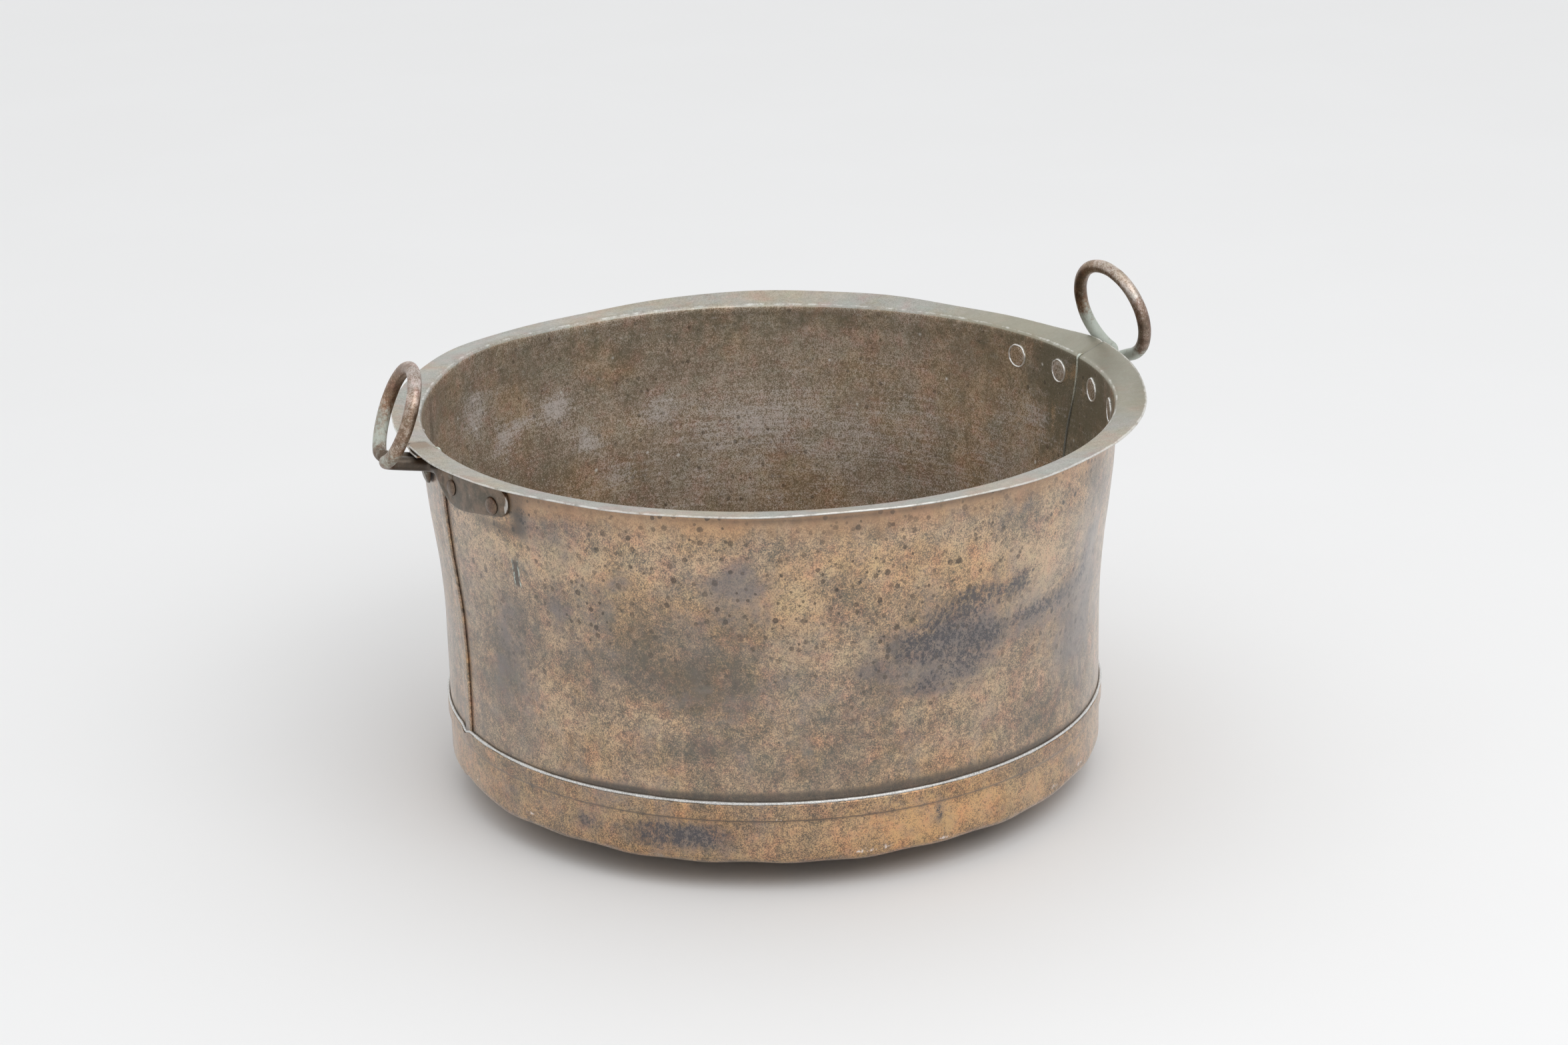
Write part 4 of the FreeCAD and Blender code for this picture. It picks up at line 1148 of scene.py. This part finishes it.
class TubStep:
    """What the operators share: each builds its pieces from the sizes and finishes."""

    def execute(self, context):
        self.build(context.scene.tub_sizes, finishes())
        return {"FINISHED"}


class TUB_OT_wall(TubStep, bpy.types.Operator):
    """Make the two halves of the wall, lapped under the handles"""

    bl_idname = "tub.wall"
    bl_label = "Wall halves"

    def build(self, sizes, looks):
        gap = sizes.braze_width / 2 / sizes.wall_radius
        lap = sizes.seam_lap / sizes.wall_radius
        end = sizes.right_seam + FULL_TURN - gap
        front = make_wall("front_wall_sheet", sizes.left_seam + gap, end, sizes, looks, False)
        finish_piece(front, "front_wall")
        rear = make_wall("rear_wall_sheet", sizes.right_seam - lap, sizes.left_seam + lap, sizes, looks, True)
        finish_piece(rear, "rear_wall")


def notch(points, sizes):
    """How far the pan's lap dips at each seam, where the sheets are doubled."""
    deepest = 0.0042
    half_width = 0.011
    dip = np.zeros(len(points))
    for seam in (sizes.left_seam, sizes.right_seam):
        past = angle_past(points, seam) * sizes.wall_radius
        dip += deepest * np.maximum(1 - np.abs(past + 0.002) / half_width, 0.0)
    return dip


def paint_pan(mesh, sizes):
    """Marks that the pan's materials read."""
    points = read_points(mesh)
    height = points[:, 2]
    radius = radius_of(points)
    stains = marks_at(points, PAN_STAINS, True)
    on_lap = smooth(height, sizes.shoulder_height - 0.001, sizes.shoulder_height + 0.002)
    step = ridge(height - sizes.shoulder_height + 0.0012, 0.0009) * smooth(radius, 0.28, 0.284)
    # The base is made darker towards the bottom
    under = 1 - smooth(height, 0.012, 0.03)
    paint(mesh, {
        "stain": stains,
        "veil": 0.9 * stains + 0.1 * on_lap,
        "worn": marks_at(points, PAN_WORN, True),
        "brown": 0.5 * (1 - smooth(radius, 0.2, 0.27)) + 0.12 * on_lap,
        "scratch": marks_at(points, PAN_SCRATCHES, True),
        "grime": 0.85 * step + 0.5 * under,
        "bare": 0.42 * ridge(height - 0.029, 0.005) * smooth(radius, 0.274, 0.281),
        "bloom": 0.5 * ridge(radius, 0.16),
    })


class TUB_OT_pan(TubStep, bpy.types.Operator):
    """Make the bottom pan, let up round the foot of the wall"""

    bl_idname = "tub.pan"
    bl_label = "Bottom pan"

    def build(self, sizes, looks):
        made = turn_sheet("bottom_pan_sheet", pan_section(sizes), {
            "Steps": PAN_STEPS, "Start": 0.0, "End": FULL_TURN, "Wave depth": 0.0016, "Wave size": 13.0,
            "Calm below": 0.006, "Calm above": 0.066, "Material": looks["pan"]})
        points = read_points(made.data)
        top = rim_facts(sizes).lap_top
        radius = radius_of(points)
        dip = notch(points, sizes)
        points[:, 2] -= dip * smooth(points[:, 2], top - 0.010, top)
        push_out(points, 0.25 * dip * smooth(points[:, 2], top - 0.016, top - 0.004))
        knocked_up = 0.003
        waviness = 0.0006
        bearing = bearing_of(points)
        low_left = bell(bearing + 88.0, 5.0)
        knock = low_left * smooth(radius, 0.24, 0.28) * (1 - smooth(points[:, 2], 0.03, 0.06))
        points[:, 2] += knocked_up * knock
        angle = np.radians(bearing)
        edge = smooth(radius, 0.20, 0.27) * (1 - smooth(points[:, 2], 0.030, 0.055))
        points[:, 2] += waviness * edge * (np.sin(11 * angle) + np.sin(27 * angle + 1.0))
        write_points(made.data, points)

        def choose(face):
            upward = face.normal.z > 0.2 and face.center.z < top - 0.004
            return 1 if upward or outward_share(face) < -0.05 else 0

        dress(made.data, [looks["pan"], looks["inside"]], choose)
        paint_pan(made.data, sizes)
        finish_piece(made, "bottom_pan")


class TUB_OT_solder(TubStep, bpy.types.Operator):
    """Run solder round the pan's lap and braze down the wall seams"""

    bl_idname = "tub.solder"
    bl_label = "Solder and braze"

    def build(self, sizes, looks):
        facts = rim_facts(sizes)
        tree = shared_tree("Solder run", solder_run_tree)
        turns = np.linspace(0.0, FULL_TURN, 900, endpoint=False)
        middle = sizes.wall_radius + sizes.lap_gap + sizes.pan_sheet * 0.52
        points = np.column_stack([middle * np.cos(turns), middle * np.sin(turns),
                                  np.full(len(turns), facts.lap_top + 0.0002)])
        points[:, 2] -= notch(points, sizes)
        run = grow("lap_solder_run", path_mesh("lap_path", points, True), tree, {
            "Thickness": 0.0013, "Unevenness": 0.5, "Material": looks["solder"]})
        write_points(run.data, read_points(run.data))
        finish_piece(run, "bottom_seam_solder")

        inside = wall_side(sizes, sizes.wall_sheet)
        climb = inside[inside[:, 0] < facts.rim_radius - 0.004]
        for label, seam in (("left", sizes.left_seam), ("right", sizes.right_seam)):
            corners = [(radius * math.cos(seam), radius * math.sin(seam), height) for radius, height in climb]
            filler = grow(label + "_seam_filler", path_mesh(label + "_seam_path", corners, False), tree, {
                "Thickness": 0.0011, "Unevenness": 0.9, "Material": looks["braze"]})
            points = read_points(filler.data)
            settle(points, sizes)
            points[:, 2] -= 0.0009 * smooth(radius_of(points), facts.top_radius + 0.001,
                                            facts.top_radius + 0.005)
            write_points(filler.data, points)
            points = read_points(filler.data)
            paint(filler.data, {
                "grime": 1 - smooth(points[:, 2], 0.278, 0.300),
                "tongue": smooth(radius_of(points), facts.top_radius - 0.001, facts.top_radius + 0.002)})
            finish_piece(filler, label + "_seam_braze")


def foot_edges(sizes, along):
    """Top and bottom of the foot at a distance from the handle's middle."""
    top = rim_facts(sizes).bend_height - sizes.foot_drop
    risen = max(along - sizes.foot_rise_start, 0.0) / (sizes.foot_length - sizes.foot_rise_start)
    return top, top - sizes.foot_depth + sizes.foot_tip_rise * risen


def foot_line(sizes, side, root_height):
    """Middle line of one foot from its tip to its root."""
    bar = sizes.bar_radius
    flat_from = 0.036
    tip_round = 0.0012
    wall = wall_radius_at(sizes, rim_facts(sizes).foot_middle)
    root_along = sizes.leg_spacing / 2 + sizes.root_bend
    points = []
    tip_steps = np.concatenate([np.linspace(0.0, 0.25, 8) ** 2 * 4, np.linspace(0.3, 1.0, 34)])
    for share in tip_steps:
        along = sizes.foot_length + (root_along - sizes.foot_length) * share
        flat = float(smooth(along, root_along, flat_from))
        top, bottom = foot_edges(sizes, along)
        thick = bar + (sizes.foot_thickness / 2 - bar) * flat
        tall = bar + ((top - bottom) / 2 - bar) * flat
        from_tip = sizes.foot_length - along
        if from_tip < sizes.foot_corner:
            short = sizes.foot_corner - from_tip
            tall += math.sqrt(max(sizes.foot_corner ** 2 - short ** 2, 0.0)) - sizes.foot_corner
        if from_tip < tip_round:
            thick *= 0.55 + 0.45 * math.sqrt(from_tip / tip_round)
        height = root_height + ((top + bottom) / 2 - root_height) * flat
        radius = wall_radius_at(sizes, height) + sizes.seat_gap + thick
        turn = side * along / wall
        spot = np.array([radius * math.cos(turn), radius * math.sin(turn), height])
        points.append((spot, thick, tall, 2.0 + 5.0 * flat, "foot"))
    return points


def bend_points(start, before, after, reach, steps):
    """Arc that turns from one direction to another; reach is from its start to its corner."""
    half = math.acos(float(np.clip(np.dot(before, after), -1.0, 1.0))) / 2
    radius = reach / math.tan(half)
    toward = after - before * np.dot(before, after)
    toward /= np.linalg.norm(toward)
    middle = start + toward * radius
    turns = np.linspace(0.0, 2 * half, steps)
    return [middle - toward * radius * math.cos(turn) + before * radius * math.sin(turn) for turn in turns]


def handle_line(sizes, ring, standoff, lean, twist):
    """Middle line of a handle's bar at +X, with its half sizes, squareness and zone at each point."""
    facts = rim_facts(sizes)
    bar = sizes.bar_radius
    reach = sizes.ring_bend
    climb = sizes.leg_climb
    inward = np.array([-math.cos(climb), 0.0, -math.sin(climb)])
    outward = np.array([math.cos(twist), math.sin(twist), 0.0])
    sideways = np.array([-math.sin(twist), math.cos(twist), 0.0])
    ring_up = np.array([0.0, 0.0, math.cos(lean)]) - outward * math.sin(lean)
    root_radius = facts.top_radius + sizes.seat_gap + bar
    foot_radius = facts.rim_radius + standoff
    foot_height = facts.bend_height - sizes.leg_drop + (foot_radius - root_radius) * math.tan(climb)
    leave = math.asin(sizes.leg_spacing / 2 / math.hypot(ring, reach)) + math.atan2(reach, ring)
    below = ring * math.cos(leave) + reach * math.sin(leave)
    centre = np.array([foot_radius, 0.0, foot_height]) + ring_up * below

    halves = []
    for side in (1, -1):
        across = sideways * side
        down = -across * math.cos(leave) - ring_up * math.sin(leave)
        leaves = centre + across * ring * math.sin(leave) - ring_up * ring * math.cos(leave)
        ring_turn = bend_points(leaves, down, inward, reach, 8)
        leg_start = ring_turn[-1]
        leg_length = (leg_start[0] - root_radius) / math.cos(climb) - sizes.root_bend
        leg_end = leg_start + inward * leg_length
        root_turn = bend_points(leg_end, inward, np.array([0.0, float(side), 0.0]), sizes.root_bend, 8)
        spots = root_turn[:0:-1] + list(line_points(leg_end, leg_start, 12)) + ring_turn[-2:0:-1]
        half = foot_line(sizes, side, root_turn[-1][2])
        half += [(spot, bar, bar, 2.0, "leg") for spot in spots[1:]]
        halves.append(half)
    loop = []
    for turn in np.linspace(leave, FULL_TURN - leave, 128):
        spot = centre + sideways * ring * math.sin(turn) - ring_up * ring * math.cos(turn)
        loop.append((spot, bar, bar, 2.0, "ring"))
    return halves[0] + loop + halves[1][::-1]


def square_to(direction, ahead):
    """Unit vector nearest to a direction, square to the way ahead."""
    side = direction - ahead * np.dot(direction, ahead)
    return side / np.linalg.norm(side)


def sweep_bar(name, line):
    """Closed mesh along the bar, with a section that changes from round to flat."""
    level = np.array([1.0, 1.0, 0.0])
    unevenness = 0.03
    hammer_marks = 70.0
    spots = np.array([entry[0] for entry in line])
    ahead = np.gradient(spots, axis=0)
    ahead /= np.linalg.norm(ahead, axis=1)[:, None]
    sides = [square_to(spots[0] * level, ahead[0])]
    for way in ahead[1:]:
        sides.append(square_to(sides[-1], way))
    goal = square_to(spots[-1] * level, ahead[-1])
    twist = math.atan2(np.dot(np.cross(sides[-1], goal), ahead[-1]), np.dot(sides[-1], goal))
    on_ring = np.array([float(entry[4] == "ring") for entry in line])
    rolled = np.cumsum(on_ring) / on_ring.sum() * twist

    def bent(wave, power):
        return math.copysign(abs(wave) ** (2.0 / power), wave)

    loops = []
    for index, (spot, thick, tall, power, _) in enumerate(line):
        up = np.cross(ahead[index], sides[index])
        turned = sides[index] * math.cos(rolled[index]) + up * math.sin(rolled[index])
        raised = np.cross(ahead[index], turned)
        middle = Vector(spot)
        loop = []
        for angle in np.linspace(0.0, FULL_TURN, BAR_SIDES, endpoint=False):
            flat_x = bent(math.cos(angle), power) * thick
            flat_y = bent(math.sin(angle), power) * tall
            where = Vector(spot + turned * flat_x + raised * flat_y)
            worked = 1.0 + unevenness * noise.noise(where * hammer_marks)
            loop.append(middle + (where - middle) * worked)
        loops.append(loop)
    hubs = [[sum(loop, Vector((0.0, 0.0, 0.0))) / BAR_SIDES] for loop in (loops[0], loops[-1])]
    return skin(name, [hubs[0]] + loops + [hubs[1]])


def paint_handle(mesh, sizes, middle, line, wear):
    """Ring lighter on top from rubbing and a painted highlight, dark inner side, green above the rim, dark
    legs, bright foot ends.
    """
    facts = rim_facts(sizes)
    points = read_points(mesh)
    radius = radius_of(points)
    height = points[:, 2]
    along = np.abs(angle_past(points, middle)) * radius
    rings = np.array([entry[4] == "ring" for entry in line], dtype=float)
    eased = np.convolve(rings, np.ones(15) / 15, "same")
    on_ring = np.concatenate([[0.0], np.repeat(eased, BAR_SIDES), [0.0]])
    round_ring = np.repeat(np.cumsum(rings) / rings.sum() * 360.0, BAR_SIDES)
    round_ring = np.concatenate([[0.0], round_ring, [360.0]])
    centre = points[on_ring > 0.9].mean(axis=0)
    away = np.linalg.norm(points - centre, axis=1)
    ring = np.median(away[on_ring > 0.9])
    hollow = on_ring * smooth(ring - away, 0.0, sizes.bar_radius)
    on_foot = 1 - smooth(radius, facts.top_radius + 0.006, facts.top_radius + 0.012)
    legs = (1 - on_foot) * (1 - on_ring)
    marks = {}
    for name in ("worn", "brown", "bloom"):
        marks[name] = sum(strength * bell(round_ring - place, half_width)
                          for place, half_width, strength in wear[name])
    # Painted shade on each foot's top, just under the flange, and darker legs from the ring's own value
    dirt = 0.35 * on_foot * smooth(height, facts.bend_height - 0.010, facts.bend_height) + wear["dirt"] * legs
    # Dark rings round the outer rivet heads: dirt, and painted shade round the heads
    for spot in (sizes.rivet_near, sizes.rivet_far):
        gap = np.hypot(along - spot, height - facts.foot_middle)
        dirt += 0.7 * ridge(gap - sizes.outer_head, 0.0018)
    paint(mesh, {
        # The worn marks lighten the top of the ring: rubbed wear and partly a painted highlight
        "worn": marks["worn"] * on_ring,
        "brown": 0.2 * on_foot + 0.5 * hollow + 0.6 * legs + marks["brown"] * on_ring,
        "flat": on_foot,
        "bloom": marks["bloom"] * (1 - on_foot) * (1 - wear["dirt"] * legs) + 0.08 * on_foot,
        # The bright foot ends are partly bare metal and partly a painted highlight
        "bare": smooth(along, sizes.foot_length - 0.0009, sizes.foot_length - 0.0003) * on_foot,
        "grime": dirt,
    })


class TUB_OT_handles(TubStep, bpy.types.Operator):
    """Forge the two ring handles with their flattened feet"""

    bl_idname = "tub.handles"
    bl_label = "Ring handles"

    def build(self, sizes, looks):
        for label in ("right", "left"):
            pose = [getattr(sizes, label + size) for size in ("_ring", "_standoff", "_lean", "_twist")]
            middle = getattr(sizes, label + "_seam")
            line = handle_line(sizes, *pose)
            mesh = sweep_bar(label + "_handle_bar", line)
            mesh.transform(Matrix.Rotation(middle, 4, "Z"))
            mesh.materials.append(looks["bar"])
            paint_handle(mesh, sizes, middle, line, RING_WEAR[label])
            made = show(label + "_handle_bar", mesh)
            finish_piece(made, label + "_handle")


def lathe(name, outline, steps, unevenness):
    """Small closed piece turned round Z from (radius, height) pairs that start and end on the axis."""
    hammer_marks = 170.0
    shift = Vector((3.0, 1.0, 2.0))
    loops = []
    for radius, height in outline:
        loop = []
        for angle in np.linspace(0.0, FULL_TURN, steps if radius else 1, endpoint=False):
            spot = Vector((radius * math.cos(angle), radius * math.sin(angle), height))
            rough = 1.0 + unevenness * noise.noise(spot * hammer_marks + shift)
            loop.append(Vector((spot.x * rough, spot.y * rough, height)))
        loops.append(loop)
    return skin(name, loops)


def tin_ring_mesh(name, outline, steps):
    """Uneven ring with a closed section, turned round Z."""
    loops = []
    for angle in np.linspace(0.0, FULL_TURN, steps, endpoint=False):
        aim = Vector((math.cos(angle), math.sin(angle), 0.0))
        swell = 1.0 + 0.06 * noise.noise(aim * 2.3) + 0.03 * noise.noise(aim * 7.0)
        loops.append([aim * (radius * swell) + Vector((0.0, 0.0, height)) for radius, height in outline])
    return skin(name, loops, closed=True)


def rivet_points(sizes, middle, radius):
    """Points at one handle's rivet places, each facing outwards."""
    level = rim_facts(sizes).foot_middle
    wall = wall_radius_at(sizes, level)
    turns = [middle + along / wall
             for along in (-sizes.rivet_far, -sizes.rivet_near, sizes.rivet_near, sizes.rivet_far)]
    facings = [Vector((math.cos(turn), math.sin(turn), 0.0)) for turn in turns]
    mesh = bpy.data.meshes.new("rivet_places")
    mesh.from_pydata([facing * radius + Vector((0.0, 0.0, level)) for facing in facings], [], [])
    layer = mesh.attributes.new("facing", "FLOAT_VECTOR", "POINT")
    for index, facing in enumerate(facings):
        layer.data[index].vector = facing
    return mesh


class TUB_OT_rivets(TubStep, bpy.types.Operator):
    """Set the rivets and the tin round their inner heads"""

    bl_idname = "tub.rivets"
    bl_label = "Rivets and tin"

    def build(self, sizes, looks):
        inside = wall_radius_at(sizes, rim_facts(sizes).foot_middle) - sizes.wall_sheet
        through = sizes.wall_sheet + sizes.foot_thickness + 2 * sizes.seat_gap
        head = sizes.inner_head
        dome = sizes.outer_head
        shank = 0.0039
        outline = [(0.0, -0.0012), (head * 0.5, -0.0012), (head * 0.8, -0.0011), (head * 0.93, -0.0009),
                   (head, -0.0003), (head * 0.96, 0.0), (shank, 0.0), (shank, through), (dome, through),
                   (dome * 1.01, through + 0.0004), (dome * 0.9, through + 0.0013),
                   (dome * 0.62, through + 0.0022), (dome * 0.3, through + 0.0026), (0.0, through + 0.0027)]
        ring = [(head * 0.97, -0.0004), (head * 1.01, -0.0012), (head * 1.08, -0.0015),
                (head * 1.15, -0.0011), (head * 1.19, 0.0002), (head * 1.07, 0.0004), (head * 0.98, 0.0004)]
        rivet = show("rivet_pattern", lathe("rivet_pattern", outline, 30, 0.05))
        tin = show("tin_pattern", tin_ring_mesh("tin_pattern", ring, 40))
        tree = shared_tree("Rivet row", rivet_row_tree)
        for label, middle, seed in (("right", sizes.right_seam, 3), ("left", sizes.left_seam, 8)):
            rivets = grow(label + "_rivets", rivet_points(sizes, middle, inside), tree, {
                "Piece": rivet, "Size spread": 0.04, "Seed": seed, "Material": looks["bar"]})
            rivets.data.shade_smooth()
            self.mark_heads(rivets.data, inside, looks)
            finish_piece(rivets, label + "_handle_rivets")
            rings = grow(label + "_tin_rings", rivet_points(sizes, middle, inside), tree, {
                "Piece": tin, "Size spread": 0.06, "Seed": seed, "Material": looks["tin"]})
            rings.data.shade_smooth()
            finish_piece(rings, label + "_rivet_tin")
        bpy.data.objects.remove(rivet)
        bpy.data.objects.remove(tin)

    def mark_heads(self, mesh, inside, looks):
        """Inner heads are like the tub's inside, outer heads dark brown."""

        def choose(face):
            return 1 if math.hypot(face.center.x, face.center.y) < inside - 0.0001 else 0

        dress(mesh, [looks["bar"], looks["inside"]], choose)
        outer = radius_of(read_points(mesh)) > inside
        paint(mesh, {
            "flat": 0.4 * outer, "grime": 0.25 * outer, "brown": 0.7 * outer, "bloom": 0.35 * ~outer})


def floor_material(colours):
    """Pale matt floor."""
    material, net = plain_material("Studio floor")
    mottle = net.clouds(3.0, 4.0, 0.5).step(-0.15, 0.25, 0.0, 0.35)
    net.feed(net.tree.nodes["Principled BSDF"], {
        "Base Color": net.mix(mottle, colours.floor, colours.floor_light), "Roughness": 0.75,
        "Specular IOR Level": 0.2})
    return material


def white_room():
    """World that is plain white where it is seen, and lights from above."""
    world = bpy.data.worlds.new("White room")
    world.use_nodes = True
    net = Net(world.node_tree)
    path = net.add("ShaderNodeLightPath")
    seen = path["Is Camera Ray"].math("MAXIMUM", path["Is Glossy Ray"])
    seen = seen.math("MAXIMUM", path["Is Transmission Ray"])
    upward = net.split(net.add("ShaderNodeTexCoord")["Generated"])["Z"]
    low_light = 0.15
    top_light = 1.18
    shown = 1.0
    overhead = upward.step(0.0, 1.0, low_light, top_light)
    net.feed(net.tree.nodes["Background"], {
        "Color": (1.0, 1.0, 1.0), "Strength": seen.step(0.0, 1.0, overhead, shown)})
    return world


def add_lamp(name, place, aim, width, height, power):
    lamp = bpy.data.lights.new(name, "AREA")
    lamp.shape = "RECTANGLE"
    lamp.size = width
    lamp.size_y = height
    lamp.energy = power
    made = show(name, lamp)
    made.location = place
    made.rotation_euler = (Vector(aim) - Vector(place)).to_track_quat("-Z", "Y").to_euler()


def photo_camera():
    """Camera fitted to the photograph's view of the tub."""
    camera = bpy.data.cameras.new("Photo camera")
    camera.sensor_fit = "HORIZONTAL"
    camera.sensor_width = 36.0
    camera.lens = 74.46
    camera.clip_end = 60.0
    bearing = math.radians(20.3)
    yaw = 0.0043
    pitch = 0.3383
    roll = -0.0221
    facing = Vector((math.sin(yaw) * math.cos(pitch), math.cos(yaw) * math.cos(pitch), -math.sin(pitch)))
    level = Vector((math.cos(yaw), -math.sin(yaw), 0.0))
    upright = level.cross(facing)
    right = level * math.cos(roll) + upright * math.sin(roll)
    upward = upright * math.cos(roll) - level * math.sin(roll)
    pose = Matrix((right, upward, -facing)).transposed().to_4x4()
    pose.translation = Vector((0.0, -2.6505, 1.150))
    made = show("Photo camera", camera)
    made.matrix_world = Matrix.Rotation(-bearing, 4, "Z") @ pose
    return made


class TUB_OT_stage(bpy.types.Operator):
    """Set up the floor, the soft light and the camera"""

    bl_idname = "tub.stage"
    bl_label = "Stage"

    def execute(self, context):
        scene = context.scene
        scene.view_settings.view_transform = "Standard"
        half = 14.0
        mesh = bpy.data.meshes.new("studio_floor")
        mesh.from_pydata([(-half, -half, 0.0), (half, -half, 0.0), (half, half, 0.0), (-half, half, 0.0)], [],
                         [(0, 1, 2, 3)])
        mesh.materials.append(floor_material(scene.tub_colours))
        show("studio_floor", mesh)
        scene.world = white_room()
        add_lamp("Front panel", (0.7, -2.6, 3.0), (0.0, 0.0, 0.1), 3.0, 2.2, 36.0)
        scene.camera = photo_camera()
        return {"FINISHED"}


class TUB_PT_parts(bpy.types.Panel):
    """Lists the tub's pieces, sizes and colours."""

    bl_idname = "TUB_PT_parts"
    bl_label = "Copper wash tub"
    bl_space_type = "VIEW_3D"
    bl_region_type = "UI"
    bl_category = "Wash tub"

    def draw(self, context):
        layout = self.layout
        for operator in OPERATORS:
            layout.operator(operator.bl_idname)
        for group in (context.scene.tub_sizes, context.scene.tub_colours):
            box = layout.box()
            for name in group.__annotations__:
                box.prop(group, name)


OPERATORS = (TUB_OT_wall, TUB_OT_pan, TUB_OT_solder, TUB_OT_handles, TUB_OT_rivets, TUB_OT_stage)
CLASSES = (TubSizes, TubColours) + OPERATORS + (TUB_PT_parts,)


def register():
    for entry in CLASSES:
        bpy.utils.register_class(entry)
    bpy.types.Scene.tub_sizes = PointerProperty(type=TubSizes)
    bpy.types.Scene.tub_colours = PointerProperty(type=TubColours)


def unregister():
    del bpy.types.Scene.tub_colours
    del bpy.types.Scene.tub_sizes
    for entry in reversed(CLASSES):
        bpy.utils.unregister_class(entry)


def main():
    register()
    bpy.ops.tub.wall()
    bpy.ops.tub.pan()
    bpy.ops.tub.solder()
    bpy.ops.tub.handles()
    bpy.ops.tub.rivets()
    bpy.ops.tub.stage()


if __name__ == "__main__":
    main()
